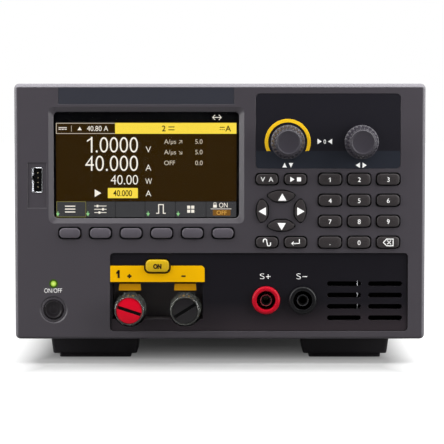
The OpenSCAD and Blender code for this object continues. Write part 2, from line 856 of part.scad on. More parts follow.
module post_washer(x) {
    color("#d5d6da")
        difference() {
            rod(x, post_foot, washer_front, washer_front + washer_t, stud_d / 2 + 3.6);
            rod(x, post_foot, washer_front - 1, washer_front + washer_t + 1, stud_d / 2 + run_gap);
        }
}

module post_collar(x) {
    flutes = 12;
    color("#b9bdb4")
        difference() {
            rod(x, post_foot, -collar_proud, collar_back, collar_d / 2);
            rod(x, post_foot, -collar_proud - 1, core_back, core_d / 2 + nest_gap);
            rod(x, post_foot, core_back - tiny, collar_back + 1, stud_d / 2 + run_gap);
            for (i = [0:flutes - 1])
                inward(x, post_foot, -collar_proud - 1)
                    rotate([0, 0, i * 360 / flutes])
                        translate([collar_d / 2 + 0.5, 0, 0])
                            cylinder(h = collar_proud + 1 + collar_back - 2, r = 1.2, $fn = 24);
        }
}

module post_core(x, slot_turn, shade) {
    color(shade)
        difference() {
            rod(x, post_foot, core_front, core_back, core_d / 2);
            translate([x, face_y + core_front, foot_h + post_foot])
                rotate([0, slot_turn, 0])
                    cube([core_d * 0.86, 2, 1.3], center = true);
        }
}

module sense_jack(x, shade) {
    body_r = jack_socket_d / 2 + 1;
    color(shade)
        difference() {
            union() {
                inward(x, jack_foot, -1.8)
                    rotate_extrude()
                        polygon([[0, 0], [jack_d / 2 - 0.6, 0], [jack_d / 2, 0.6], [jack_d / 2, terminal_sink + 1.8],
                                 [0, terminal_sink + 1.8]]);
                rod(x, jack_foot, terminal_sink - tiny, 24, body_r);
            }
            rod(x, jack_foot, -3, 18, jack_socket_d / 2);
            rod(x, jack_foot, 17, 25, sleeve_d / 2 + run_gap);
        }
}

module top_cover() {
    pitch = 9;
    color("#3f3d42")
        difference() {
            slab(tub_front, body_d)
                difference() {
                    rounded(0, body_h / 2, tub_w, tub_h, bend_r);
                    rounded(0, body_h / 2 - sheet_t, tub_w - 2 * sheet_t, tub_h, bend_r - sheet_t + 0.2);
                    translate([-tub_w, tub_foot - 10])
                        square([2 * tub_w, 10 + bend_r]);
                }
            for (row = [0, 1], i = [0:side_vents - 1])
                vent_slot(bezel_d + 40 + i * pitch, body_h * 0.36 + row * 32, 26);
            for (s = side_screws)
                side_hole(s[0], s[1]);
        }
}

// A rounded upright slot through both sides of the cover
module vent_slot(d, h, long) {
    half = body_w / 2 + 1;
    block(-half, half, d - 1.6, d + 1.6, h, h + long);
    for (end = [h, h + long])
        translate([-half, face_y + d, foot_h + end])
            rotate([0, 90, 0])
                cylinder(h = 2 * half, r = 1.6);
}

module side_hole(d, h) {
    half = body_w / 2 + 1;
    translate([-half, face_y + d, foot_h + h])
        rotate([0, 90, 0])
            cylinder(h = 2 * half, r = screw_hole_r);
}

// Finger guard: rings of curved slots in the rear wall
module fan_guard() {
    difference() {
        for (r = [fan_hub_d / 2 + 4:6.4:fan_w / 2 - 4])
            difference() {
                circle(r = r + 3.6);
                circle(r = r);
            }
        for (a = [45, 135])
            rotate([0, 0, a])
                square([fan_w * 1.2, 4], center = true);
    }
}

module inlet_body(grow) {
    square_at(inlet_x, inlet_mid, inlet_body_w + 2 * grow, inlet_body_h + 2 * grow);
}

module fan_screw_places() {
    for (sx = [-1, 1], sy = [-1, 1])
        translate([fan_x + sx * fan_pitch / 2, fan_mid + sy * fan_pitch / 2])
            children();
}

module chassis() {
    top = tub_foot + tub_h - sheet_t - nest_gap;
    color("#b4b6b8")
        difference() {
            union() {
                block(-pan_w / 2, pan_w / 2, tub_front, body_d, tub_foot, floor_h);
                for (x = [-pan_w / 2, pan_w / 2 - sheet_t])
                    block(x, x + sheet_t, tub_front, body_d, tub_foot, tub_foot + flange_h);
                slab(body_d - sheet_t, body_d)
                    translate([-pan_w / 2, tub_foot])
                        square([pan_w, top - tub_foot - 1]);
                for (x = [board_x0 + 6, board_x1 - 6], d = [board_d0 + 8, board_d1 - 40])
                    translate([x, face_y + d, foot_h + floor_h - tiny])
                        cylinder(h = standoff_h + tiny, r = 3);
            }
            for (s = side_screws)
                side_hole(s[0], s[1]);
            slab(body_d - sheet_t - 1, body_d + 1) {
                translate([fan_x, fan_mid])
                    fan_guard();
                fan_screw_places()
                    circle(r = screw_hole_r);
                inlet_body(nest_gap);
                for (sx = [-1, 1])
                    translate([inlet_x + sx * inlet_pitch / 2, inlet_mid])
                        circle(r = screw_hole_r);
                port_outlines(nest_gap);
            }
            for (p = foot_places)
                translate([p[0], p[1], 0])
                    cylinder(h = foot_h + floor_h + 1, r = 4 + nest_gap);
        }
}

foot_places = [for (sx = [-1, 1], d = [bezel_d + foot_setback + foot_l / 2, body_d - foot_rear - foot_l / 2])
               [sx * foot_x, face_y + d]];

module feet() {
    top = foot_h + tub_foot;
    for (p = foot_places)
        translate([p[0], p[1], 0]) {
            color("#17151a") {
                translate([0, foot_l / 2, 0])
                    rotate([90, 0, 0])
                        linear_extrude(foot_l)
                            polygon([[-foot_w / 2, top], [foot_w / 2, top], [foot_w / 2 - foot_taper, sole_h],
                                     [-foot_w / 2 + foot_taper, sole_h]]);
                translate([0, 0, top - tiny])
                    cylinder(h = sheet_t, r = 4);
            }
            color("#1d1b1f")
                translate([-sole_w / 2, -foot_l / 2 + 3, 0])
                    cube([sole_w, foot_l - 6, sole_h]);
        }
}

module heatsink() {
    low = floor_h;
    step = (sink_h - sink_fin_t) / (sink_fins - 1);
    color("#aeb1b5") {
        block(sink_x0, sink_x0 + 9, sink_d0, sink_d1, low, low + sink_h);
        for (i = [0:sink_fins - 1])
            block(sink_x0 + 8, sink_x0 + sink_w, sink_d0, sink_d1, low + i * step, low + i * step + sink_fin_t);
    }
}

module main_board() {
    gates = 6;
    leg_x = board_x1 - 1.4;
    color("#1f5a36") {
        block(board_x0, board_x1, board_d0, board_d1, board_low, board_top);
        for (i = [0:gates - 1]) {
            d = sink_d0 + (i + 0.5) * sink_l / gates - gate_w / 2;
            knee = board_top + gate_foot + 1;
            block(sink_x0 - gate_t, sink_x0, d, d + gate_w, knee - 1, knee - 1 + gate_h);
            block(leg_x, sink_x0 - gate_t + 1.6, d + 2, d + gate_w - 2, knee - 4, knee);
            block(leg_x, leg_x + 1, d + 2, d + gate_w - 2, board_top - tiny, knee);
        }
        block(board_x0 + 10, board_x0 + 10 + coil_w, coil_d0, coil_d0 + coil_l, board_top - tiny, board_top + coil_h);
        for (i = [0:2])
            translate([cap_x, face_y + cap_d0 + i * cap_pitch, foot_h + board_top - tiny])
                cylinder(h = cap_h, r = cap_d / 2);
        block(chip_x0, chip_x0 + chip_w, cap_d0 + 6, cap_d0 + 6 + chip_w, board_top - tiny, board_top + 2);
    }
}

module fan_frame() {
    d1 = body_d - sheet_t;
    d0 = d1 - fan_t;
    color("#1a1a1c") {
        difference() {
            slab(d0, d1)
                rounded(fan_x, fan_mid, fan_w, fan_w, 3);
            rod(fan_x, fan_mid, d0 - 1, d1 + 1, fan_w / 2 - 2);
            fan_screw_rods(d0, d1);
        }
        rod(fan_x, fan_mid, d1 - 4, d1, fan_hub_d / 2);
        difference() {
            for (a = [0, 90])
                slab(d1 - 4, d1)
                    translate([fan_x, fan_mid])
                        rotate([0, 0, a])
                            square([fan_w - 3, 4], center = true);
            rod(fan_x, fan_mid, d1 - 5, d1 + 1, fan_hub_d / 2 - 1);
        }
        rod(fan_x, fan_mid, d0 + 4, d1 - 3, 2);
    }
}

module fan_screw_rods(d0, d1) {
    for (sx = [-1, 1], sy = [-1, 1])
        rod(fan_x + sx * fan_pitch / 2, fan_mid + sy * fan_pitch / 2, d0 - 1, d1 + 1, screw_hole_r);
}

module fan_rotor() {
    d1 = body_d - sheet_t - 4.6;
    d0 = body_d - sheet_t - fan_t + 1.5;
    tip = fan_w / 2 - 3.2;
    color("#232326")
        difference() {
            union() {
                rod(fan_x, fan_mid, d0, d1, fan_hub_d / 2);
                intersection() {
                    rod(fan_x, fan_mid, d0 + 1, d1 - 1, tip);
                    for (i = [0:fan_blades - 1])
                        inward(fan_x, fan_mid, (d0 + d1) / 2)
                            rotate([0, 0, i * 360 / fan_blades])
                                translate([tip / 2, 0, 0])
                                    rotate([38, 0, 0])
                                        cube([tip + 2, blade_w, 1.6], center = true);
                }
            }
            rod(fan_x, fan_mid, d0 + 2, d1 + 1, 2 + run_gap);
        }
}

module ac_inlet() {
    mouth_x = inlet_body_w / 2 - 1.6;
    mouth_h = inlet_body_h / 2 - 1.9;
    color("#121214") {
        difference() {
            union() {
                slab(body_d, body_d + inlet_t)
                    rounded(inlet_x, inlet_mid, inlet_w, inlet_h, 4);
                slab(body_d - inlet_body_d, body_d + tiny)
                    inlet_body(0);
            }
            slab(body_d - inlet_body_d + 8, body_d + inlet_t + 1)
                translate([inlet_x, inlet_mid])
                    polygon([[-mouth_x, -mouth_h], [mouth_x, -mouth_h], [mouth_x, mouth_h - 4.5],
                             [mouth_x - 4.5, mouth_h], [4.5 - mouth_x, mouth_h], [-mouth_x, mouth_h - 4.5]]);
            for (sx = [-1, 1])
                rod(inlet_x + sx * inlet_pitch / 2, inlet_mid, body_d - 1, body_d + inlet_t + 1, screw_hole_r);
        }
        for (pin = [[-7, -2], [0, 2], [7, -2]])
            slab(body_d - inlet_body_d + 7, body_d - 3)
                square_at(inlet_x + pin[0], inlet_mid + pin[1], 2, 4);
    }
}

module port_outlines(grow) {
    square_at(lan_x, board_top + lan_h / 2, lan_w + 2 * grow, lan_h + 2 * grow);
    square_at(usb_b_x, board_top + usb_b_h / 2, usb_b_w + 2 * grow, usb_b_h + 2 * grow);
}

module rear_ports() {
    color("#c9cbd0")
        difference() {
            slab(body_d - port_d, body_d + 0.6)
                port_outlines(0);
            slab(body_d - port_d + 8, body_d + 1)
                square_at(lan_x, board_top + lan_h / 2 - 0.2, lan_w - 4, lan_h - 5.2);
            slab(body_d - port_d + 12, body_d + 1)
                difference() {
                    square_at(usb_b_x, board_top + usb_b_h / 2, usb_b_w - 3.4, usb_b_h - 3.2);
                    square_at(usb_b_x, board_top + usb_b_h / 2, usb_b_w - 6.4, usb_b_h - 7.8);
                }
        }
}

// A pan head screw along z, its head above z = 0
module screw(long) {
    difference() {
        union() {
            cylinder(h = screw_head_h, r = screw_head_r);
            translate([0, 0, -long])
                cylinder(h = long + tiny, r = screw_r);
        }
        for (a = [0, 90])
            rotate([0, 0, a])
                translate([0, 0, screw_head_h])
                    cube([3, 0.8, 1.6], center = true);
    }
}

module screws() {
    color("#9a9ca0") {
        for (s = side_screws, side = [-1, 1])
            translate([side * tub_w / 2, face_y + s[0], foot_h + s[1]])
                rotate([0, side * 90, 0])
                    screw(6);
        for (sx = [-1, 1], sy = [-1, 1])
            inward(fan_x + sx * fan_pitch / 2, fan_mid + sy * fan_pitch / 2, body_d)
                screw(12);
        for (sx = [-1, 1])
            inward(inlet_x + sx * inlet_pitch / 2, inlet_mid, body_d + inlet_t)
                screw(inlet_t + 1.5 * screw_bite);
        for (b = bosses)
            inward(b[0], b[1], board_d + pcb_t)
                screw(pcb_t + screw_bite);
    }
}

front_bezel();
front_overlays();
display_window();
lcd_module();
front_board();
power_lamp();
usb_socket();
terminal_panel();
terminal_label();
terminal_metal();
sense_jack(jack_xs[0], "#c8102e");  // sense_jack_pos
sense_jack(jack_xs[1], "#17171a");  // sense_jack_neg
top_cover();
chassis();
feet();
heatsink();
main_board();
fan_frame();
ac_inlet();
rear_ports();
screws();
power_button();
on_key();
knob(knob_xs[0]);  // knob_left
knob(knob_xs[1]);  // knob_right
encoder_shaft(knob_xs[0]);  // encoder_shaft_left
encoder_shaft(knob_xs[1]);  // encoder_shaft_right
post_washer(post_xs[0]);  // post_washer_pos
post_washer(post_xs[1]);  // post_washer_neg
post_collar(post_xs[0]);  // post_collar_pos
post_collar(post_xs[1]);  // post_collar_neg
post_core(post_xs[0], 18, "#c8102e");  // post_core_pos
post_core(post_xs[1], -32, "#17171a");  // post_core_neg
fan_rotor();
for (k = soft_keys) soft_key(k);
for (k = pad_keys) pad_key(k);
for (k = fn_keys) fn_key(k);
for (k = arrow_keys) arrow_key(k);
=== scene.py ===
# %% [markdown]
# # A bench electronic load, dressed piece by piece
# The solid model of the instrument is loaded first as a fixed frame. It holds the sizes and the places, and it
# never moves. Everything that follows either gives one of its solids a finish, or lays a finer piece over it.

# %% Load the frame
import bpy
import math
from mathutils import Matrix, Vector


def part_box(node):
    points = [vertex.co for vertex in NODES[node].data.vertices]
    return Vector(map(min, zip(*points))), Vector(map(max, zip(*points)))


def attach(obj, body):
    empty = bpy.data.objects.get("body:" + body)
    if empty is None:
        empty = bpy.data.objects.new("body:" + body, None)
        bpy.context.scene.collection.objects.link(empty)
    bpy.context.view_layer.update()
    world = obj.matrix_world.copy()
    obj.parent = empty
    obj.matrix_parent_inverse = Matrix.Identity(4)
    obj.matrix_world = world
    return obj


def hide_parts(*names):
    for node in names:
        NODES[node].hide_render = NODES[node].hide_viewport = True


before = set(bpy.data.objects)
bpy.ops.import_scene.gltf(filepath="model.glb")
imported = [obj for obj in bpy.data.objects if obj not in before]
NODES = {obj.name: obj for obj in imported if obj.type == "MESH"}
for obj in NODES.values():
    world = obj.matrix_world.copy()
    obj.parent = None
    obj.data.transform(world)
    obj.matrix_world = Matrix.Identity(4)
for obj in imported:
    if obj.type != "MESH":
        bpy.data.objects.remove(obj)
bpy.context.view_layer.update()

# %% [markdown]
# ## Measuring on the front panel
# A front panel is laid out like a drawing: so far to the right of the middle, so far above the lower edge, so
# deep behind the face. One function turns those three numbers, in millimetres, into a place in the scene, and
# another reads the middle of any solid back as panel numbers.

# %% Panel measures
MM = 0.001
bezel_low, bezel_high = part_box("front_bezel")
FACE, BASE = bezel_low[1], bezel_low[2]
PLATE = 3.0


def spot(x, depth, height):
    return (x * MM, FACE + depth * MM, BASE + height * MM)


def middle(node):
    low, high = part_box(node)
    return (low[0] + high[0]) / 2 / MM, ((low[2] + high[2]) / 2 - BASE) / MM


print("face at y =", round(FACE, 4), "lower edge at z =", round(BASE, 4), "key 5 at", middle("key_5"))

# %% [markdown]
# ## Camera
# The picture was taken nearly square on, level with the top edge, with a long lens: the left and right sides stay
# parallel, the cover doesn't show above the bezel, and the input posts lean down more than the knobs do. A camera
# 1.13 metres away, tipped down by 3.65 degrees, with a lens that sees 230 mm of width at the panel, gives the same
# lines.

# %% Camera
TIP, AWAY = math.radians(3.65), 1130
AIM_X, AIM_H = 1.1, 61.0
SEEN_WIDTH, SENSOR = 230.3, 36.0
eye = bpy.data.objects.new("camera", bpy.data.cameras.new("camera"))
bpy.context.scene.collection.objects.link(eye)
eye.location = spot(AIM_X, -AWAY * math.cos(TIP), AIM_H + AWAY * math.sin(TIP))
eye.rotation_euler = (math.pi / 2 - TIP, 0, 0)
eye.data.sensor_width = SENSOR
eye.data.lens = SENSOR * AWAY / SEEN_WIDTH
bpy.context.scene.camera = eye
print("lens", round(eye.data.lens, 1), "mm at", [round(c, 3) for c in eye.location])

# %% [markdown]
# ## Colours and nodes
# Colours are written as the hex values that a screen shows, and one function turns them into the linear numbers
# that the shaders want. A second function adds a shader node, sets what is constant and links what is not. Two
# more tell where on the instrument a point lies, and lay a second colour over the first where a mask says so.

# %% Colour and node helpers


def shade(code):
    parts = [int(code[i:i + 2], 16) / 255 for i in (1, 3, 5)]
    return tuple(c / 12.92 if c <= 0.04045 else ((c + 0.055) / 1.055) ** 2.4 for c in parts) + (1.0,)


def tint(code, factor):
    return tuple(min(1, c * factor) for c in shade(code)[:3]) + (1.0,)


def wire(finish, kind, sockets=None, **settings):
    node = finish.node_tree.nodes.new(kind)
    for name, value in settings.items():
        setattr(node, name, value)
    for name, value in (sockets or {}).items():
        if isinstance(value, bpy.types.NodeSocket):
            finish.node_tree.links.new(value, node.inputs[name])
        else:
            node.inputs[name].default_value = value
    return node


def new_finish(name):
    finish = bpy.data.materials.new(name)
    finish.use_nodes = True
    skin = finish.node_tree.nodes["Principled BSDF"]
    place = wire(finish, "ShaderNodeTexCoord").outputs["Object"]
    return finish, skin, place


def axes_of(finish):
    place = wire(finish, "ShaderNodeTexCoord").outputs["Object"]
    return wire(finish, "ShaderNodeSeparateXYZ", {0: place}).outputs


def paint_over(finish, mask, tone):
    skin = finish.node_tree.nodes["Principled BSDF"]
    under = skin.inputs["Base Color"].links[0].from_socket
    mixed = wire(finish, "ShaderNodeMix", {0: mask.outputs[0], 6: under, 7: shade(tone)}, data_type="RGBA")
    finish.node_tree.links.new(mixed.outputs[2], skin.inputs["Base Color"])


print("dark bezel grey is", [round(c, 3) for c in shade("#332f35")[:3]])

# %% [markdown]
# ## Light and background
# A product photograph is lit by large soft boxes in a white corner of a dark room. The world is white where the
# camera looks past the object, and dim for the light that falls on it. Reflections see white behind and above the
# object and the dark room in front of it, which is what keeps black plastic black. One wide lamp above brightens
# every edge that faces up, two at the sides catch the bevels, and a weak one in front fills the face.

# %% World and lamps
DIM_FRONT, FILL = 0.06, 0.1
world = bpy.data.worlds.new("white_room")
bpy.context.scene.world = world
world.use_nodes = True
sky = world.node_tree.nodes["Background"]
path = wire(world, "ShaderNodeLightPath")
look = wire(world, "ShaderNodeSeparateXYZ", {0: wire(world, "ShaderNodeTexCoord").outputs["Generated"]})
behind = wire(world, "ShaderNodeMapRange", {"Value": look.outputs["Y"], "From Min": -0.7, "From Max": 0.1,
                                            "To Min": DIM_FRONT})
seen = wire(world, "ShaderNodeMath", {0: path.outputs["Is Glossy Ray"], 1: path.outputs["Is Transmission Ray"]},
            operation="MAXIMUM")
mirror = wire(world, "ShaderNodeMath", {0: seen.outputs[0], 1: behind.outputs[0]}, operation="MULTIPLY")
white = wire(world, "ShaderNodeMath", {0: path.outputs["Is Camera Ray"], 1: mirror.outputs[0]}, operation="MAXIMUM")
fill = wire(world, "ShaderNodeMath", {0: path.outputs["Is Diffuse Ray"], 1: FILL}, operation="MULTIPLY")
level = wire(world, "ShaderNodeMath", {0: white.outputs[0], 1: fill.outputs[0]}, operation="MAXIMUM")
world.node_tree.links.new(level.outputs[0], sky.inputs["Strength"])
sky.inputs["Color"].default_value = (1, 1, 1, 1)


def soft_box(name, place, aim, width, height, power):
    lamp = bpy.data.objects.new(name, bpy.data.lights.new(name, "AREA"))
    bpy.context.scene.collection.objects.link(lamp)
    lamp.data.shape = "RECTANGLE"
    lamp.data.size, lamp.data.size_y = width, height
    lamp.data.energy = power
    lamp.location = place
    towards = [a - p for a, p in zip(aim, place)]
    lamp.rotation_euler = (math.atan2(math.hypot(towards[0], towards[1]), -towards[2]), 0,
                           math.atan2(towards[1], towards[0]) - math.pi / 2)


soft_box("top_box", (0.0, -0.3, 1.2), (0, -0.15, 0.1), 1.6, 0.55, 18)
soft_box("front_box", (-0.05, -0.65, 0.8), (0, FACE, 0.1), 0.7, 0.4, 0.6)
soft_box("left_box", (-0.42, -0.33, 0.3), (0, FACE, 0.08), 0.3, 0.6, 3.9)
soft_box("right_box", (0.42, -0.33, 0.3), (0, FACE, 0.08), 0.3, 0.6, 4.3)
print("lamps:", len(bpy.data.lights))

# %% [markdown]
# The floor is a sheet of paper lit by the lamps, and it keeps the shadow under the body. On top of that it
# gives off painted light that only the camera sees, depending on how far a point lies from the middle, forwards
# and sideways: hardly at all under the body, fully beyond it, and a little in a band just in front of the feet,
# so that the painted light shapes the edge of the shadow. The whole pattern is shifted 3.5 mm to the left.

# %% Floor
NEAR, FAR, ASIDE = 40, 225, 3.5
SIDE_FROM, SIDE_TO = 82, 116
LIFT = [(0, 0.007), (48, 0.021), (61, 0.039), (75, 0.058), (88, 0.108), (101, 0.172), (114, 0.305), (126, 0.245),
        (138, 0.13), (150, 0.224), (161, 0.4), (FAR - NEAR, 1.0)]
bpy.ops.object.select_all(action="DESELECT")
bpy.ops.mesh.primitive_plane_add(size=8, location=(0, 0, 0))
floor = bpy.context.object
floor.name = "floor"
paper, skin, place = new_finish("white_paper_floor")
skin.inputs["Base Color"].default_value = shade("#808080")
skin.inputs["Roughness"].default_value = 0.9
aside = wire(paper, "ShaderNodeVectorMath", {0: place, 1: (ASIDE * MM, 0, 0)}, operation="ADD")
ground = wire(paper, "ShaderNodeVectorMath", {0: aside.outputs[0]}, operation="ABSOLUTE")
ground = wire(paper, "ShaderNodeSeparateXYZ", {0: ground.outputs[0]})
forward = wire(paper, "ShaderNodeMapRange", {"Value": ground.outputs["Y"], "From Min": NEAR * MM,
                                             "From Max": FAR * MM})
ramp = wire(paper, "ShaderNodeValToRGB", {"Fac": forward.outputs[0]})
while len(ramp.color_ramp.elements) < len(LIFT):
    ramp.color_ramp.elements.new(0.5)
for stop, (distance, bright) in zip(ramp.color_ramp.elements, LIFT):
    stop.position, stop.color = distance / (FAR - NEAR), (bright, bright, bright, 1)
sideways = wire(paper, "ShaderNodeMapRange", {"Value": ground.outputs["X"], "From Min": SIDE_FROM * MM,
                                              "From Max": SIDE_TO * MM})
pale = wire(paper, "ShaderNodeMath", {0: ramp.outputs[0], 1: sideways.outputs[0]}, operation="MAXIMUM")
path = wire(paper, "ShaderNodeLightPath")
lift = wire(paper, "ShaderNodeMath", {0: path.outputs["Is Camera Ray"], 1: pale.outputs[0]}, operation="MULTIPLY")
glow = wire(paper, "ShaderNodeEmission", {"Color": (1, 1, 1, 1), "Strength": lift.outputs[0]})
both = wire(paper, "ShaderNodeAddShader", {0: skin.outputs[0], 1: glow.outputs[0]})
paper.node_tree.links.new(both.outputs[0], paper.node_tree.nodes["Material Output"].inputs["Surface"])
floor.data.materials.append(paper)
print("floor ready, shadow lifted in", len(LIFT), "steps")

# %% [markdown]
# ## Moulded plastics
# The bezel, keys and knobs are injection moulded. The steel of the mould is spark eroded, so the plastic comes
# out with a fine, even grain that breaks up the gloss. The grain is a noise in millimetres that drives a shallow
# bump, and a slow second noise lets the gloss and the tone wander a little, as handled plastic does. Real grain
# is about 0.1 mm; here it is drawn three to eight times coarser so that it shows.

# %% Moulded finish
SLOW_PATCH, GLOSS_SWING, GRAIN_HEIGHT = 22, 0.07, 0.12


def moulded(name, colour, roughness, grain, depth, wander=0.05, edge=0.25, sheen=0.3):
    finish, skin, place = new_finish(name)
    fine = wire(finish, "ShaderNodeTexNoise", {"Vector": place, "Scale": 1 / (grain * MM), "Detail": 3.0})
    slow = wire(finish, "ShaderNodeTexNoise", {"Vector": place, "Scale": 1 / (SLOW_PATCH * MM), "Detail": 2.0})
    low, high = tint(colour, 1 - 2 * wander), tint(colour, 1 + 2 * wander)
    tone = wire(finish, "ShaderNodeMix", {0: slow.outputs[0], 6: low, 7: high}, data_type="RGBA")
    finish.node_tree.links.new(tone.outputs[2], skin.inputs["Base Color"])
    gloss = wire(finish, "ShaderNodeMapRange", {"Value": fine.outputs[0], "To Min": roughness - GLOSS_SWING,
                                                "To Max": roughness + GLOSS_SWING})
    finish.node_tree.links.new(gloss.outputs[0], skin.inputs["Roughness"])
    corner = wire(finish, "ShaderNodeBevel", {"Radius": edge * MM}, samples=4)
    bump = wire(finish, "ShaderNodeBump", {"Height": fine.outputs[0], "Strength": depth, "Distance": GRAIN_HEIGHT * MM,
                                           "Normal": corner.outputs[0]})
    finish.node_tree.links.new(bump.outputs[0], skin.inputs["Normal"])
    skin.inputs["IOR"].default_value = 1.53
    skin.inputs["Specular IOR Level"].default_value = sheen
    return finish


print("grain of", GRAIN_HEIGHT, "mm")

# %% [markdown]
# Each plastic then gets its colour and gloss. The numbers are the roughness, the width of the grain in millimetres
# and how strongly the grain shows, followed where needed by how much the tone wanders and how glossy the skin is.

# %% Plastics of the front
# Spark-eroded ABS: a dark, slightly warm grey with a dull, even gloss
bezel_abs = moulded("grained_abs_bezel", "#332f35", 0.45, 0.8, 0.2, 0.03, 0.35, 0.5)
# Keycap ABS is finer, and darker than the bezel, so that each key stands out by its lit rim
key_abs = moulded("dark_keycap_abs", "#2a2627", 0.45, 0.7, 0.15)
soft_key_abs = moulded("grey_keycap_abs", "#48444b", 0.48, 0.7, 0.15)
on_key_abs = moulded("yellow_keycap_abs", "#ba9800", 0.45, 0.7, 0.12)
# The power button comes from a polished mould and is the smoothest and darkest of the keys
power_abs = moulded("power_button_abs", "#161316", 0.34, 0.7, 0.1, sheen=0.2)
# Soft-touch lacquer on the knobs spreads the light into a broad, silky patch
knob_abs = moulded("soft_touch_knob", "#2c2930", 0.42, 0.6, 0.15, sheen=0.4)
# Nylon is waxy: deep colour, little grain and a weak skin of gloss
terminal_nylon = moulded("black_terminal_nylon", "#0e0c12", 0.4, 0.8, 0.12, sheen=0.17)
red_nylon = moulded("red_terminal_nylon", "#be021f", 0.34, 0.6, 0.06, 0.03, sheen=0.15)
black_nylon = moulded("black_jack_nylon", "#171517", 0.32, 0.6, 0.08)
jack_red = moulded("red_jack_nylon", "#a4061d", 0.32, 0.6, 0.06, 0.04, sheen=0.12)
jack_black = moulded("black_jack_ring_nylon", "#0c0c0e", 0.3, 0.6, 0.06, sheen=0.2)
# A dull black: painted shade where it lines slots and sockets, and the plain black plastic of the USB tongue
black_plastic_and_shade = moulded("black_plastic_and_painted_shade", "#050505", 0.7, 0.8, 0.1, sheen=0.05)
# A matt dark brown is painted shade for the shadowed gap round the output key
gap_shade_finish = moulded("painted_gap_shade", "#2a1a06", 0.6, 0.8, 0.1, sheen=0.1)
print("plastics of the front:", len(bpy.data.materials))

# %% Plastics of the inside and the back
# A dull black pad behind the vent slots is painted shade that keeps the slots black
vent_shade_finish = moulded("painted_vent_shade", "#060606", 0.95, 1.6, 0.6, sheen=0.02)
# Foot rubber is coarse and dull, fan and inlet plastic a plain satin black
foot_tpe = moulded("black_foot_rubber", "#201d21", 0.65, 1.2, 0.3)
fan_pbt = moulded("black_fan_pbt", "#1b1b1e", 0.45, 0.9, 0.12)
inlet_pbt = moulded("black_inlet_pbt", "#151517", 0.42, 0.9, 0.12)
# Solder mask is a green lacquer that ripples over the copper under it
MASK_GREEN = "#16402a"
board_mask = moulded("green_solder_mask", MASK_GREEN, 0.4, 2.4, 0.2)
# The main board is one solid with its parts, so what stands above the board's face turns dark
board_parts = moulded("board_with_dark_parts", MASK_GREEN, 0.45, 2.4, 0.2)
board_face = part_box("main_board")[0][2] + 2.0 * MM
above = wire(board_parts, "ShaderNodeMath", {0: axes_of(board_parts)["Z"], 1: board_face}, operation="GREATER_THAN")
parts = wire(board_parts, "ShaderNodeMix", {0: above.outputs[0], 6: shade(MASK_GREEN), 7: shade("#17171a")},
             data_type="RGBA")
board_parts.node_tree.links.new(parts.outputs[2],
                                board_parts.node_tree.nodes["Principled BSDF"].inputs["Base Color"])
print("plastics in all:", len(bpy.data.materials))

# %% [markdown]
# Two places on the terminal panel are painted paler than the rest: its foot, with a painted reflection of the
# bright table in front of it, and the inside of the deep pocket, with painted light where little light reaches.

# %% Painted light on the terminal panel
TABLE_GLOW_FROM, TABLE_GLOW_TO, POCKET_LIGHT_BEHIND = 19.5, 6.5, 3
panel_at = axes_of(terminal_nylon)
# Painted reflection: the panel grows paler towards its foot, as if it mirrored the table
foot = wire(terminal_nylon, "ShaderNodeMapRange", {"Value": panel_at["Z"], "From Min": BASE + TABLE_GLOW_FROM * MM,
                                                   "From Max": BASE + TABLE_GLOW_TO * MM})
paint_over(terminal_nylon, foot, "#272125")
# Painted light: the pocket is paler from a few millimetres behind the face
inside = wire(terminal_nylon, "ShaderNodeMath", {0: panel_at["Y"], 1: FACE + POCKET_LIGHT_BEHIND * MM}, operation="GREATER_THAN")
paint_over(terminal_nylon, inside, "#454042")
print("terminal panel worn below", TABLE_GLOW_FROM, "mm and bare behind", POCKET_LIGHT_BEHIND, "mm")

# %% [markdown]
# Along the rounded edge round the bezel's face the grain is painted paler, as a painted highlight, most of all
# along the top, where the shading normal is also tilted up so that the rounding shades like a narrow flat that
# catches the light from above. How far a point lies inside the outline, and how deep behind the face, says
# whether it is on that edge.

# %% Painted highlight on the bezel's edge
EDGE_FROM, EDGE_TO, EDGE_BLUR = 1.5, 2.2, 0.15
edge_skin = bezel_abs.node_tree.nodes["Principled BSDF"]
where = axes_of(bezel_abs)
aside = wire(bezel_abs, "ShaderNodeMath", {0: where["X"]}, operation="ABSOLUTE")
from_side = wire(bezel_abs, "ShaderNodeMath", {0: bezel_high[0], 1: aside.outputs[0]}, operation="SUBTRACT")
from_top = wire(bezel_abs, "ShaderNodeMath", {0: bezel_high[2], 1: where["Z"]}, operation="SUBTRACT")
in_front = wire(bezel_abs, "ShaderNodeMapRange", {"Value": where["Y"], "From Min": FACE + EDGE_FROM * MM,
                                                  "From Max": FACE + EDGE_TO * MM, "To Min": 1.0, "To Max": 0.0})
for inward, tone, inner in ((from_side, "#545257", 1.45), (from_top, "#66636a", 1.75)):
    close = wire(bezel_abs, "ShaderNodeMapRange", {"Value": inward.outputs[0], "From Min": inner * MM,
                                                   "From Max": (inner + EDGE_BLUR) * MM, "To Min": 1.0, "To Max": 0.0})
    edge_highlight = wire(bezel_abs, "ShaderNodeMath", {0: close.outputs[0], 1: in_front.outputs[0]}, operation="MULTIPLY")
    paint_over(bezel_abs, edge_highlight, tone)
grained = edge_skin.inputs["Normal"].links[0].from_socket
flattened = wire(bezel_abs, "ShaderNodeMix", {0: edge_highlight.outputs[0], 4: grained, 5: (0, -0.707, 0.707)},
                 data_type="VECTOR")
bezel_abs.node_tree.links.new(flattened.outputs[1], edge_skin.inputs["Normal"])
print("edge rubbed from x =", round(bezel_high[0], 4), "and z =", round(bezel_high[2], 4), "inwards")

# %% [markdown]
# ## Printed films
# The panel behind the knobs and the strip above the display are polycarbonate film, printed on the back, so they
# are smooth, and the yellow bar is a plain moulded label with a satin face. Film, ink and label have nearly no
# grain. Their tone wanders slowly, and the label has the faint ripple of a thin moulding that is glued down.

# %% Film finish
RIPPLE_PATCH, RIPPLE_HEIGHT, MATT_GRAIN = 14, 0.4, 0.9
TONE_SWING, MATT_SWING = 0.08, 0.04


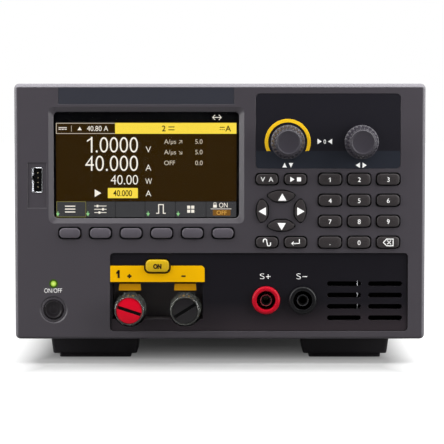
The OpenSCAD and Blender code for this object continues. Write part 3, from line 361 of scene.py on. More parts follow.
def film(name, colour, roughness, ripple=0.0):
    finish, skin, place = new_finish(name)
    slow = wire(finish, "ShaderNodeTexNoise", {"Vector": place, "Scale": 1 / (RIPPLE_PATCH * MM), "Detail": 1.0})
    fine = wire(finish, "ShaderNodeTexNoise", {"Vector": place, "Scale": 1 / (MATT_GRAIN * MM), "Detail": 2.0})
    tone = wire(finish, "ShaderNodeMix", {0: slow.outputs[0], 6: tint(colour, 1 - TONE_SWING),
                                          7: tint(colour, 1 + TONE_SWING)}, data_type="RGBA")
    finish.node_tree.links.new(tone.outputs[2], skin.inputs["Base Color"])
    gloss = wire(finish, "ShaderNodeMapRange", {"Value": fine.outputs[0], "To Min": roughness - MATT_SWING,
                                                "To Max": roughness + MATT_SWING})
    finish.node_tree.links.new(gloss.outputs[0], skin.inputs["Roughness"])
    bump = wire(finish, "ShaderNodeBump", {"Height": slow.outputs[0], "Strength": ripple,
                                           "Distance": RIPPLE_HEIGHT * MM})
    finish.node_tree.links.new(bump.outputs[0], skin.inputs["Normal"])
    skin.inputs["Specular IOR Level"].default_value = 0.2
    return finish


# Screen inks lie on top of the surface, flat and matt
yellow_print = film("yellow_ring_print", "#e6b818", 0.5)
white_ink = film("white_legend_ink", "#f2f2f0", 0.6)
black_ink = film("brown_legend_ink", "#1e0d00", 0.6)
dim_ink = film("dark_relief_ink", "#1e1c1f", 0.5)
# The jack shrouds are red and black, and their thin rims are painted paler as a painted highlight
shroud_red = film("red_shroud_rim", "#8f3a44", 0.4)
shroud_grey = film("grey_shroud_rim", "#3c3c40", 0.4)
print("films and inks:", len(bpy.data.materials))

# %% [markdown]
# One film carries three tones, because the strip above the display and the panel behind the knobs are cut from the
# same printed sheet: a grey strip on the left, and on the right a near black field whose lower band is a little
# bluer. Where a point lies on the sheet decides its tone.

# %% Printed overlay
# Polycarbonate film has a satin face over an even, printed colour
BAND_TOP, STRIP_END = 97.85, 13
overlay, skin, place = new_finish("printed_overlay_film")
axes = axes_of(overlay)
lower = wire(overlay, "ShaderNodeMath", {0: axes["Z"], 1: BASE + BAND_TOP * MM}, operation="LESS_THAN")
field = wire(overlay, "ShaderNodeMix", {0: lower.outputs[0], 6: shade("#17161c"), 7: shade("#20232b")},
             data_type="RGBA")
left = wire(overlay, "ShaderNodeMath", {0: axes["X"], 1: STRIP_END * MM}, operation="LESS_THAN")
sheet = wire(overlay, "ShaderNodeMix", {0: left.outputs[0], 6: field.outputs[2], 7: shade("#2c2d34")},
             data_type="RGBA")
overlay.node_tree.links.new(sheet.outputs[2], skin.inputs["Base Color"])
matt = wire(overlay, "ShaderNodeTexNoise", {"Vector": place, "Scale": 1 / (MATT_GRAIN * MM), "Detail": 2.0})
gloss = wire(overlay, "ShaderNodeMapRange", {"Value": matt.outputs[0], "To Min": 0.3, "To Max": 0.4})
overlay.node_tree.links.new(gloss.outputs[0], skin.inputs["Roughness"])
skin.inputs["Specular IOR Level"].default_value = 0.25
print("overlay film ready")

# %% [markdown]
# The yellow label is one moulding with a flat bar and two tongues that reach down to the posts. The tongues lie
# deeper, and their yellow is darkened to amber as painted shade; where each meets the bar a dark band is a
# painted shadow of the bar.

# %% Yellow label
TONGUE_TOP, BAR_SHADOW_BAND = 29.75, 1.1
# Dyed ABS with a satin face: strong colour and hardly any gloss
yellow_label = film("yellow_label_abs", "#d8a300", 0.5, 0.04)
yellow_label.node_tree.nodes["Principled BSDF"].inputs["Specular IOR Level"].default_value = 0.05
label_h = axes_of(yellow_label)["Z"]
tongue = wire(yellow_label, "ShaderNodeMath", {0: label_h, 1: BASE + TONGUE_TOP * MM}, operation="LESS_THAN")
# Painted shade: the deeper tongues are darkened to amber
paint_over(yellow_label, tongue, "#bc8508")
# Painted shadow: a dark band where each tongue meets the bar
bar_shadow = wire(yellow_label, "ShaderNodeMath", {0: label_h, 1: BASE + (TONGUE_TOP - BAR_SHADOW_BAND / 2) * MM,
                                               2: BAR_SHADOW_BAND / 2 * MM}, operation="COMPARE")
paint_over(yellow_label, bar_shadow, "#301a02")
print("yellow label with tongues below", TONGUE_TOP, "mm")

# %% [markdown]
# ## Metals
# Sheet steel, plated connectors and the aluminium heatsink are all metal, and they differ in how the surface was
# made. Rolled and plated steel has fine streaks along one direction, so its noise is stretched; painted steel has
# an orange-peel grain and no metal in it at all.

# %% Metals and paint
ROLLED_GRAIN = 1.2


def plated(name, colour, roughness, streak):
    finish, skin, place = new_finish(name)
    lay = wire(finish, "ShaderNodeMapping", {"Vector": place, "Scale": streak})
    rolled = wire(finish, "ShaderNodeTexNoise", {"Vector": lay.outputs[0], "Scale": 1 / (ROLLED_GRAIN * MM),
                                                 "Detail": 4.0})
    tone = wire(finish, "ShaderNodeMix", {0: rolled.outputs[0], 6: tint(colour, 0.85), 7: tint(colour, 1.12)},
                data_type="RGBA")
    finish.node_tree.links.new(tone.outputs[2], skin.inputs["Base Color"])
    gloss = wire(finish, "ShaderNodeMapRange", {"Value": rolled.outputs[0], "To Min": roughness - 0.08,
                                                "To Max": roughness + 0.1})
    finish.node_tree.links.new(gloss.outputs[0], skin.inputs["Roughness"])
    skin.inputs["Metallic"].default_value = 1.0
    return finish


# Zinc is grey and cloudy, nickel bright with a cool cast, and brass shows warm through thin nickel
zinc_sheet = plated("zinc_plated_sheet", "#a7a9ac", 0.4, (1.0, 1.0, 0.06))
nickel = plated("nickel_plated_shell", "#cfd0d4", 0.24, (1.0, 0.2, 1.0))
contact = plated("nickel_plated_brass", "#cfc3a0", 0.25, (1.0, 0.2, 1.0))
screw_zinc = plated("zinc_screw", "#a2a4a8", 0.3, (1.0, 1.0, 1.0))
# Extruded aluminium carries the long streaks of its die
extruded = plated("extruded_aluminium", "#b4b7ba", 0.38, (1.0, 0.05, 1.0))
lcd_steel = plated("lcd_frame_steel", "#8d9196", 0.35, (1.0, 1.0, 0.1))
# Powder paint melts into an orange peel that scatters the light
cover_paint = moulded("textured_cover_paint", "#403e43", 0.5, 1.1, 0.4, 0.04, 0.3)
print("metals and paint:", len(bpy.data.materials))

# %% [markdown]
# ## Clear and glowing
# The window is clear acrylic and the collars of the input posts are clear polycarbonate with a faint grey-green
# tint. What the display shows is made of light, so its finishes give light off at the brightness of the colour
# itself, with a fine ripple for the pixels.

# %% Clear plastics and screen light
HAZE_GRAIN, PIXEL = 1.5, 0.4


def clear(name, colour, roughness, index, sheen):
    finish, skin, place = new_finish(name)
    haze = wire(finish, "ShaderNodeTexNoise", {"Vector": place, "Scale": 1 / (HAZE_GRAIN * MM), "Detail": 2.0})
    gloss = wire(finish, "ShaderNodeMapRange", {"Value": haze.outputs[0], "To Min": roughness * 0.6,
                                                "To Max": roughness * 1.4})
    finish.node_tree.links.new(gloss.outputs[0], skin.inputs["Roughness"])
    skin.inputs["Base Color"].default_value = shade(colour)
    skin.inputs["Transmission Weight"].default_value = 1.0
    skin.inputs["IOR"].default_value = index
    skin.inputs["Specular IOR Level"].default_value = sheen
    return finish


def lit(name, colour):
    finish, skin, place = new_finish(name)
    dots = wire(finish, "ShaderNodeTexNoise", {"Vector": place, "Scale": 1 / (PIXEL * MM), "Detail": 1.0})
    tone = wire(finish, "ShaderNodeMix", {0: dots.outputs[0], 6: tint(colour, 0.94), 7: tint(colour, 1.06)},
                data_type="RGBA")
    finish.node_tree.links.new(tone.outputs[2], skin.inputs["Emission Color"])
    skin.inputs["Emission Strength"].default_value = 1.0
    skin.inputs["Base Color"].default_value = (0.002, 0.002, 0.002, 1)
    skin.inputs["Specular IOR Level"].default_value = 0.05
    skin.inputs["Roughness"].default_value = 0.4
    return finish


# Thin acrylic with a coating against glare hardly reflects, so the screen behind it stays black
window_acrylic = clear("window_acrylic", "#ffffff", 0.02, 1.1, 0.15)
# Thick polycarbonate bends the light, and its flutes catch bright lines
collar_pc = clear("collar_polycarbonate", "#bfc2bb", 0.1, 1.58, 0.5)
collar_pc.node_tree.nodes["Principled BSDF"].inputs["Transmission Weight"].default_value = 0.94
# The panel's pixels give off their own colour; black ones give next to none
screen_black = lit("screen_black", "#010102")
screen_field = lit("screen_brown_field", "#2c1c02")
screen_yellow = lit("screen_yellow", "#fbdc48")
screen_white = lit("screen_white", "#f6f0e4")
screen_dim = lit("screen_dim_white", "#cfc4b0")
screen_tile = lit("screen_tile_grey", "#3d3d3f")
screen_olive = lit("screen_olive", "#7d7a3a")
screen_ink = lit("screen_dark_figures", "#2a2206")
screen_green = lit("screen_green", "#8fd08a")
screen_amber = lit("screen_amber", "#7a5420")
screen_orange = lit("screen_orange", "#e0a850")
print("clear and lit finishes ready")

# %% [markdown]
# The power lamp is a small domed lens with a lamp behind it, brightest in the middle and greener towards its rim.

# %% Lamp light
CORE_R, LENS_R = 0.3, 1.45
lamp_light = lit("power_lamp_light", "#b8e648")
lamp_x, lamp_h = middle("power_lamp")
flat = wire(lamp_light, "ShaderNodeMapping", {"Vector": wire(lamp_light, "ShaderNodeTexCoord").outputs["Object"],
                                              "Scale": (1, 0, 1)})
off_axis = wire(lamp_light, "ShaderNodeVectorMath", {0: flat.outputs[0], 1: (lamp_x * MM, 0, BASE + lamp_h * MM)},
                operation="DISTANCE")
fall = wire(lamp_light, "ShaderNodeMapRange", {"Value": off_axis.outputs["Value"], "From Min": CORE_R * MM,
                                               "From Max": LENS_R * MM})
spread = wire(lamp_light, "ShaderNodeMix", {0: fall.outputs[0], 6: shade("#dcf87a"), 7: shade("#84b526")},
              data_type="RGBA")
lamp_light.node_tree.links.new(spread.outputs[2],
                               lamp_light.node_tree.nodes["Principled BSDF"].inputs["Emission Color"])
# What spills past the lens leaves a dark green rim on the bezel
lamp_rim = lit("power_lamp_rim", "#3a5412")
print("finishes in all:", len(bpy.data.materials))

# %% [markdown]
# ## Dressing the solids that stay
# Sheet metal, circuit boards, fan and screws have the right shape already, so they keep their solids and only
# get a finish. Solids that a finer piece replaces later are dressed too, which costs nothing.

# %% Finish every solid
SOLID_FINISH = {
    "front_bezel": bezel_abs, "front_overlays": overlay, "display_window": window_acrylic, "lcd_module": lcd_steel,
    "front_board": board_mask, "power_lamp": lamp_light, "usb_socket": nickel, "terminal_panel": terminal_nylon,
    "terminal_label": yellow_label, "terminal_metal": contact, "sense_jack_pos": red_nylon,
    "sense_jack_neg": black_nylon, "top_cover": cover_paint, "chassis": zinc_sheet, "feet": foot_tpe,
    "heatsink": extruded, "main_board": board_parts, "fan_frame": fan_pbt, "fan_rotor": fan_pbt,
    "ac_inlet": inlet_pbt, "rear_ports": nickel, "screws": screw_zinc, "power_button": power_abs,
    "on_key": on_key_abs, "post_core_pos": red_nylon, "post_core_neg": black_nylon}
FAMILY_FINISH = {"softkey": soft_key_abs, "knob": knob_abs, "collar": collar_pc, "shaft": screw_zinc,
                 "washer": screw_zinc}
for name, solid in NODES.items():
    family = [finish for word, finish in FAMILY_FINISH.items() if word in name]
    finish = SOLID_FINISH.get(name, family[0] if family else key_abs)
    solid.data.materials.clear()
    solid.data.materials.append(finish)
print("dressed", len(NODES), "solids")

# %% [markdown]
# ## Tools for modelling
# Every new piece starts from a primitive and is shaped in edit mode. The helpers below only save typing: they
# deselect what is selected, put a primitive in its place, choose faces or edges by where they are, and hand the
# finished piece its finish and the body that carries it. Capital letters of the built-in typeface are 0.69 of its
# size high.

# %% Modelling helpers


def fresh():
    if bpy.context.object and bpy.context.mode != "OBJECT":
        bpy.ops.object.mode_set(mode="OBJECT")
    bpy.ops.object.select_all(action="DESELECT")


def only(piece):
    fresh()
    piece.select_set(True)
    bpy.context.view_layer.objects.active = piece


def settle(name):
    piece = bpy.context.object
    piece.name = piece.data.name = name
    bpy.ops.object.transform_apply(location=True, rotation=True, scale=True)
    return piece


def slab(name, x0, x1, d0, d1, h0, h1):
    fresh()
    bpy.ops.mesh.primitive_cube_add(size=1, location=spot((x0 + x1) / 2, (d0 + d1) / 2, (h0 + h1) / 2),
                                    scale=((x1 - x0) * MM, (d1 - d0) * MM, (h1 - h0) * MM))
    return settle(name)


# Tests for choosing: each gets the middle of an edge or face, and an edge's direction or a face's normal


def runs_deep(middle_at, along):
    return abs(along.y) > 0.9


def stands_up(middle_at, along):
    return abs(along.z) > 0.9


def looks_front(middle_at, normal):
    return normal.y < -0.9


def looks_back(middle_at, normal):
    return normal.y > 0.9


def looks_down(middle_at, normal):
    return normal.z < -0.9


def anywhere(middle_at, along):
    return True


def choose(piece, part, test):
    bpy.context.view_layer.objects.active = piece
    bpy.ops.object.mode_set(mode="EDIT")
    bpy.ops.mesh.select_mode(type=part)
    bpy.ops.mesh.select_all(action="DESELECT")
    bpy.ops.object.mode_set(mode="OBJECT")
    mesh = piece.data
    if part == "FACE":
        for face in mesh.polygons:
            face.select = test(face.center, face.normal)
    elif part == "EDGE":
        for edge in mesh.edges:
            a, b = (mesh.vertices[i].co for i in edge.vertices)
            edge.select = test((a + b) / 2, (b - a).normalized())
    else:
        for corner in mesh.vertices:
            corner.select = test(corner.co)
    bpy.ops.object.mode_set(mode="EDIT")


def soften(piece, part, test, offset, segments):
    choose(piece, part, test)
    bpy.ops.mesh.bevel(offset=offset * MM, segments=segments, affect="EDGES")


def carve(piece, operation, tool):
    cut = piece.modifiers.new("cut", "BOOLEAN")
    cut.operation, cut.object = operation, tool
    bpy.context.view_layer.objects.active = piece
    bpy.ops.object.modifier_apply(modifier=cut.name)


def done(piece, angle=35):
    only(piece)
    bpy.ops.object.shade_smooth_by_angle(angle=math.radians(angle))
    return piece


def fit(piece, finish, body, slot, *stands_for):
    piece.data.materials.clear()
    piece.data.materials.append(finish)
    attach(piece, body)
    if stands_for:
        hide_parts(*stands_for)


def twin(master, name, dx, dh):
    only(master)
    bpy.ops.object.duplicate()
    bpy.context.object.location = (dx * MM, 0, dh * MM)
    return settle(name)


def join(name, pieces):
    fresh()
    for piece in pieces:
        piece.select_set(True)
    bpy.context.view_layer.objects.active = pieces[0]
    if len(pieces) > 1:
        bpy.ops.object.join()
    pieces[0].name = pieces[0].data.name = name
    return pieces[0]


def lathe(name, x, h, profile, steps=64):
    fresh()
    bpy.ops.mesh.primitive_plane_add(size=0.001, location=spot(x, profile[0][0], h + profile[0][1]))
    piece = settle(name)
    bpy.ops.object.mode_set(mode="EDIT")
    bpy.ops.mesh.select_mode(type="VERT")
    bpy.ops.mesh.select_all(action="SELECT")
    bpy.ops.mesh.merge(type="CENTER")
    for (d0, r0), (d1, r1) in zip(profile, profile[1:]):
        bpy.ops.mesh.extrude_vertices_move(TRANSFORM_OT_translate={"value": (0, (d1 - d0) * MM, (r1 - r0) * MM)})
    bpy.ops.mesh.select_all(action="SELECT")
    bpy.ops.mesh.spin(steps=steps, angle=math.tau, center=spot(x, 0, h), axis=(0, 1, 0))
    bpy.ops.mesh.select_all(action="SELECT")
    bpy.ops.mesh.remove_doubles(threshold=1e-6)
    bpy.ops.mesh.normals_make_consistent(inside=False)
    bpy.ops.object.mode_set(mode="OBJECT")
    return piece


def place_word(word, name, x, depth, height, anchor, base):
    px, py, pz = spot(x, depth, height)
    word.rotation_euler = (math.pi / 2, 0, 0)
    word.location = (px - anchor, py, pz - base)
    return settle(name)


def word_mesh(text, size, thick, swell):
    fresh()
    bpy.ops.object.text_add()
    word = bpy.context.object
    word.data.body = text
    word.data.size, word.data.extrude, word.data.offset = size * MM, thick / 2 * MM, swell * MM
    bpy.ops.object.convert(target="MESH")
    return bpy.context.object


def stretch(word, across, up):
    word.scale = (across, up, 1)
    bpy.ops.object.transform_apply(location=False, rotation=False, scale=True)


CAP_SHARE = 0.69


def letters(name, text, cap, x, h, depth, wide=None, side="CENTER", thick=0.04, swell=0.0):
    word = word_mesh(text, cap / CAP_SHARE, thick, swell)
    if wide:
        across = [v.co.x for v in word.data.vertices]
        stretch(word, wide * MM / (max(across) - min(across)), 1)
    across = [v.co.x for v in word.data.vertices]
    anchor = {"CENTER": (min(across) + max(across)) / 2, "LEFT": min(across), "RIGHT": max(across)}[side]
    return place_word(word, name, x, depth, h - cap / 2, anchor, 0)


def symbol(name, glyph, wide, x, h, depth, thick=0.04):
    word = word_mesh(glyph, 5, thick, 0)
    across = [v.co.x for v in word.data.vertices]
    factor = wide * MM / (max(across) - min(across))
    stretch(word, factor, factor)
    across, up = [v.co.x for v in word.data.vertices], [v.co.y for v in word.data.vertices]
    return place_word(word, name, x, depth, h, (min(across) + max(across)) / 2, (min(up) + max(up)) / 2)


print("modelling helpers ready")

# %% [markdown]
# ## Keypad, function and soft keys
# A key is a moulded cap with rounded corners and a face that is slightly crowned, so that light rolls off its
# rim. It is one block: its four upright corners are bevelled round, its face is inset and pushed forward a
# little, and the rim is bevelled soft. Behind the plate the back face grows into the lip that keeps the key in.
# One cap of each size is modelled and the others are copies.

# %% Key caps
CAP_PROUD, LIP, LIP_THICK, LIP_SQUEEZE = 1.35, 2, 1.2, 0.84


def key_cap(name, x, h, width, height, radius, proud, back=PLATE):
    cap = slab(name, x - width / 2, x + width / 2, -proud, back + 0.2, h - height / 2, h + height / 2)
    soften(cap, "EDGE", runs_deep, radius, 7)
    soften(cap, "FACE", looks_front, 0.45, 3)
    choose(cap, "FACE", lambda c, n: n.y < -0.99)
    bpy.ops.mesh.inset(thickness=0.9 * MM, depth=0.16 * MM)
    bpy.ops.mesh.inset(thickness=0.8 * MM, depth=0.05 * MM)
    choose(cap, "FACE", looks_back)
    bpy.ops.mesh.extrude_region_move(TRANSFORM_OT_translate={"value": (0, 0, 0)})
    bpy.ops.transform.resize(value=((width + LIP) / width, 1, LIP_SQUEEZE), center_override=spot(x, back, h))
    bpy.ops.mesh.extrude_region_move(TRANSFORM_OT_translate={"value": (0, LIP_THICK * MM, 0)})
    return done(cap, 50)


def key_row(names, width, height, radius, finish, slot):
    x0, h0 = middle(names[0])
    master = key_cap(names[0] + "_cap", x0, h0, width, height, radius, CAP_PROUD)
    for name in names[1:]:
        x, h = middle(name)
        fit(twin(master, name + "_cap", x - x0, h - h0), finish, name + "_body", slot, name)
    fit(master, finish, names[0] + "_body", slot, names[0])


PAD = ["key_%d" % i for i in range(1, 10)] + ["key_point", "key_0", "key_back"]
FUNCTION = ["key_meter", "key_list", "key_scope", "key_enter"]
SOFT = ["softkey_%d" % i for i in range(1, 7)]
key_row(PAD, 11.55, 5.75, 2.1, key_abs, "key_plastic")
key_row(FUNCTION, 11.05, 5.35, 2.1, key_abs, "key_plastic")
key_row(SOFT, 10.75, 5.1, 2.3, soft_key_abs, "soft_key_plastic")
on_x, on_h = middle("on_key")
fit(key_cap("on_key_cap", on_x, on_h, 12.0, 6.3, 2.3, 1.5, 4.5), on_key_abs, "on_key_body", "on_key_yellow",
    "on_key")
print("keys made:", len(PAD) + len(FUNCTION) + len(SOFT) + 1)

# %% [markdown]
# Where the output key passes through the yellow bar, a dark ring of painted shade is laid round the opening,
# where the gap round the key lies in shade. It is a rounded plate with the opening cut from it by a Boolean, and
# only the half that lies on the bar is kept.

# %% Painted shade round the output key


def rounded(name, x, h, width, height, radius, d0, d1):
    plate = slab(name, x - width / 2, x + width / 2, d0, d1, h - height / 2, h + height / 2)
    soften(plate, "EDGE", runs_deep, radius, 7)
    fresh()
    return plate


BAR_TOP = 38.15
rim = rounded("on_key_rim", on_x, on_h, 13.9, 8.2, 3.0, -0.05, 0.0)
hole = rounded("on_key_hole", on_x, on_h, 12.9, 7.2, 2.6, -1.0, 1.0)
carve(rim, "DIFFERENCE", hole)
bpy.data.objects.remove(hole)
choose(rim, "FACE", anywhere)
bpy.ops.mesh.bisect(plane_co=spot(0, 0, BAR_TOP), plane_no=(0, 0, 1), use_fill=True, clear_outer=True)
fit(done(rim), gap_shade_finish, "instrument", "label_yellow")
print("rim of the output key made")

# %% [markdown]
# ## Arrow keys
# The four arrow keys are petals round an empty middle, and each is the shape that two large discs share where
# they overlap: a flat arc on the outer side and a rounder one on the inner side. Two discs and a Boolean give
# exactly that. The thin tips are then cut blunt by bisecting, and the rim and face are softened like the other
# keys.

# %% Arrow keys
PETAL_BACK, OUTER, INNER, WAIST = 4.4, 2.35, 3.6, 0.49
BLUNT, PETAL_FOOT = 0.25, -2.8


def petal(name, x, h, long, turn):
    half = long / 2 + 0.6
    discs = []
    for bulge, side in ((OUTER, 1), (INNER, -1)):
        radius = (half * half + bulge * bulge) / (2 * bulge)
        fresh()
        bpy.ops.mesh.primitive_cylinder_add(vertices=256, radius=radius * MM, depth=(CAP_PROUD + PETAL_BACK) * MM,
                                            location=(0, (PETAL_BACK - CAP_PROUD) / 2 * MM,
                                                      (WAIST + side * (bulge - radius)) * MM),
                                            rotation=(math.pi / 2, 0, 0))
        discs.append(settle(name))
    key = discs[0]
    carve(key, "INTERSECT", discs[1])
    bpy.data.objects.remove(discs[1])
    for across, up in ((long / 2 - BLUNT, 0), (BLUNT - long / 2, 0), (0, PETAL_FOOT)):
        choose(key, "FACE", anywhere)
        bpy.ops.mesh.bisect(plane_co=(across * MM, 0, up * MM), plane_no=(across, 0, up), use_fill=True,
                            clear_outer=True)
    choose(key, "FACE", lambda c, n: n.y < -0.99)
    bpy.ops.mesh.bevel(offset=0.35 * MM, segments=3, affect="EDGES", clamp_overlap=True)
    choose(key, "FACE", lambda c, n: n.y < -0.995)
    bpy.ops.mesh.inset(thickness=0.3 * MM, depth=0.14 * MM, use_even_offset=False)
    only(key)
    key.rotation_euler = (0, -math.radians(turn), 0)
    key.location = spot(x, 0, h)
    return done(settle(name), 50)


ARROWS = {"arrow_up": (13.9, 0), "arrow_down": (13.9, 180), "arrow_left": (11.8, 90), "arrow_right": (11.8, 270)}
for name, (long, turn) in ARROWS.items():
    x, h = middle(name)
    fit(petal(name + "_cap", x, h, long, turn), key_abs, name + "_body", "key_plastic", name)
print("arrow keys made:", len(ARROWS))

# %% [markdown]
# ## Power button
# The power button is round, with a raised rim and a shallow dish for the fingertip, and a guard ring lies in the
# dish round it. Round pieces like these are drawn as half of their outline, in pairs of depth and radius, and spun
# about the axis.

# %% Power button
px, ph = middle("power_button")
BUTTON = [(0.1, 0), (0.1, 3.4), (-0.3, 4.0), (-0.4, 4.2), (-0.4, 4.45), (-0.25, 4.75), (0.1, 4.9), (3.2, 4.95),
          (3.2, 6.2), (4.4, 6.2), (4.4, 0)]
GUARD = [(0.97, 5.2), (0.45, 5.2), (0.36, 5.3), (0.34, 6.3), (0.42, 6.42), (0.97, 5.62), (0.97, 5.2)]
LENS = [(-0.4, 0), (-0.36, 0.5), (-0.24, 0.9), (0.0, 1.2), (0.0, LENS_R), (6, LENS_R), (6, 0)]
GLOW = [(0.0, 1.46), (-0.04, 1.5), (-0.04, 2.15), (0.0, 2.3), (0.0, 1.46)]
button = lathe("power_button_cap", px, ph, BUTTON, 96)
fit(done(button), power_abs, "power_button_body", "key_plastic", "power_button")
fit(done(lathe("power_button_guard", px, ph, GUARD, 96)), bezel_abs, "instrument", "bezel_plastic")
lens = lathe("power_lamp_lens", lamp_x, lamp_h, LENS, 48)
fit(done(lens, 60), lamp_light, "instrument", "lamp_green", "power_lamp")
fit(done(lathe("power_lamp_glow", lamp_x, lamp_h, GLOW, 48)), lamp_rim, "instrument", "lamp_green")
print("power button at", round(px, 2), round(ph, 2), "lamp at", round(lamp_x, 2), round(lamp_h, 2))

# %% [markdown]
# ## Knobs
# Each knob is a tapered drum with a dished face, a smooth rim and grip flutes round its side. The outline is spun
# in 144 steps, six for each of the 24 flutes; two columns of points in every six are then pulled towards the axis,
# which leaves the flutes.

# %% Knobs
KNOB = [(-13.0, 0), (-13.0, 5.1), (-13.08, 5.4), (-13.26, 5.7), (-13.3, 5.95), (-13.2, 6.2), (-12.8, 6.4),
        (-12.65, 6.55), (-12.62, 6.75), (-12.5, 7.0), (-12.1, 7.3), (-11.0, 7.6), (-4.2, 8.4),
        (-3.4, 8.5), (-3.2, 8.8), (-1.6, 8.86), (-1.3, 8.7), (-1.25, 3.4), (-10.9, 3.4), (-10.9, 0)]


def column(corner, x, h, count):
    turn = math.atan2(corner.z - BASE - h * MM, corner.x - x * MM) / math.tau * count
    return turn - math.floor(turn)


def reach(corner, x, h):
    return math.hypot(corner.x - x * MM, corner.z - BASE - h * MM) / MM


def flute(piece, x, h, front, back, least, count, share, squeeze):
    choose(piece, "VERT", lambda v: FACE + front * MM < v.y < FACE + back * MM and reach(v, x, h) > least
           and column(v, x, h, count) < share)
    bpy.ops.transform.resize(value=(squeeze, 1, squeeze), center_override=spot(x, 0, h))


def knob(name, x, h):
    piece = lathe(name, x, h, KNOB, 144)
    flute(piece, x, h, -12.45, -3.9, 6.9, 24, 0.36, 0.93)
    return done(piece, 28)


for side in ("left", "right"):
    x, h = middle("knob_" + side)
    fit(knob("knob_%s_cap" % side, x, h), knob_abs, "knob_%s_body" % side, "knob_plastic", "knob_" + side)
print("knobs at", [round(middle("knob_" + s)[0], 2) for s in ("left", "right")])

# %% [markdown]
# ## Input posts
# An input post is a metal stud with a clear plastic nut on it, so that the bare wire under it can be seen. The
# nut is spun like the knob, with eighteen wide flutes, and its front holds a coloured disc with a screwdriver slot.
# The disc is spun too; its slot is cut with a Boolean, and a black liner at the slot's bottom is painted shade that
# keeps it dark.

# %% Input posts
COLLAR = [(-6.15, 3.15), (-6.15, 6.78), (-9.1, 6.78), (-9.42, 6.9), (-9.48, 7.05), (-9.48, 7.2), (-9.35, 7.4),
          (-9.0, 7.55), (-2.0, 8.0), (7.6, 8.45), (9.6, 8.4), (10.05, 8.0), (10.05, 3.15), (-6.15, 3.15)]
DISC = -9.15
CORE = [(DISC, 0), (DISC, 6.25), (-9.05, 6.5), (-8.8, 6.62), (-6.25, 6.62), (-6.25, 0)]
SLOT_HALF, SLOT_WIDE, LINER_DEEP = 6.3, 0.88, 1.75


def collar(name, x, h):
    piece = lathe(name, x, h, COLLAR, 144)
    flute(piece, x, h, -10, 8, 7.45, 18, 0.4, 0.955)
    return done(piece, 30)


def core(name, x, h, turn):
    disc = lathe(name, x, h, CORE, 96)
    bar = slab(name + "_slot", -SLOT_HALF, SLOT_HALF, -1.5, 0.9, -SLOT_WIDE, SLOT_WIDE)
    soften(bar, "EDGE", runs_deep, 0.2, 2)
    only(bar)
    low = spot(0, 0, 0)
    for corner in bar.data.vertices:
        corner.co = (corner.co.x, corner.co.y - low[1], corner.co.z - low[2])
    bar.rotation_euler = (0, math.radians(turn), 0)
    bar.location = spot(x, DISC, h)
    settle(bar.name)
    carve(disc, "DIFFERENCE", bar)
    choose(bar, "FACE", looks_front)
    bpy.ops.transform.translate(value=(0, LINER_DEEP * MM, 0))
    return done(disc), done(bar)


for side, turn, finish in (("pos", 18, red_nylon), ("neg", -32, black_nylon)):
    x, h = middle("post_core_" + side)
    body = "collar_%s_body" % side
    slot = "terminal_red" if side == "pos" else "terminal_black"
    fit(collar("post_%s_nut" % side, x, h), collar_pc, body, "collar_clear", "post_collar_" + side)
    disc, liner = core("post_%s_disc" % side, x, h, turn)
    fit(disc, finish, body, slot, "post_core_" + side)
    fit(liner, black_plastic_and_shade, body, "terminal_black")
print("input posts made")

# %% [markdown]
# ## Sense jacks
# The sense jacks take a sheathed 4 mm plug: a thick coloured ring, a deep socket, and in its middle the contact
# sleeve with a thin shroud round its mouth. Ring, shroud and a black liner of painted shade for the dark bore are
# spun from their outlines.

# %% Sense jacks
RING = [(24, 3.1), (18, 3.1), (18, 4.92), (-1.25, 4.92), (-1.6, 5.05), (-1.78, 5.4), (-1.75, 6.2), (-1.55, 6.75),
        (-1.1, 7.12), (-0.5, 7.26), (0.78, 7.28), (0.78, 5.9), (24, 5.9), (24, 3.1)]
SHROUD = [(0.15, 2.62), (0.05, 2.7), (0.05, 2.92), (0.15, 3.02), (2.0, 3.02), (2.0, 2.62), (0.15, 2.62)]
LINER = [(0.12, 1.8), (0.12, 2.6), (0.19, 2.6), (0.19, 1.97), (17.8, 1.97), (17.8, 1.8), (0.12, 1.8)]
for side, finish, slot, rim in (("pos", jack_red, "terminal_red", shroud_red),
                                ("neg", jack_black, "terminal_black", shroud_grey)):
    x, h = middle("sense_jack_" + side)
    fit(done(lathe("sense_%s_ring" % side, x, h, RING, 96)), finish, "instrument", slot, "sense_jack_" + side)
    fit(done(lathe("sense_%s_shroud" % side, x, h, SHROUD, 64)), rim, "instrument", slot)
    # The liner is painted shade lining the bore, which stays dark where the walls lie in shade
    fit(done(lathe("sense_%s_liner" % side, x, h, LINER, 64)), black_plastic_and_shade, "instrument", "terminal_black")
print("sense jacks made")

# %% [markdown]
# ## Shade behind the vents
# Air enters through the eight slots. Behind them lies a black pad, a dark sheet of painted shade that keeps the
# slots black, held by one bright spring wire that shows in the slots. The pad is a block with soft edges. The wire
# is a round bar whose two ends are bevelled.

# %% Shade pad behind the vents
pad = slab("vent_shade_pad", 41.0, 96.5, 5.6, 7.2, 8.0, 32.0)
soften(pad, "EDGE", anywhere, 0.5, 3)
fit(done(pad), vent_shade_finish, "instrument", "terminal_plastic")
fresh()
bpy.ops.mesh.primitive_cylinder_add(vertices=24, radius=0.52 * MM, depth=16.5 * MM, location=spot(71.9, 5.05, 23.4))
spring = settle("vent_spring_wire")
soften(spring, "FACE", stands_up, 0.2, 3)
fit(done(spring), nickel, "instrument", "port_metal")
print("vent filter and its wire made")

# %% [markdown]
# ## USB socket
# The front port is a thin folded shell with rolled lips, and inside it a black tongue with four contacts. The
# shell is a block whose front face is inset by the sheet thickness and pushed deep into the block.

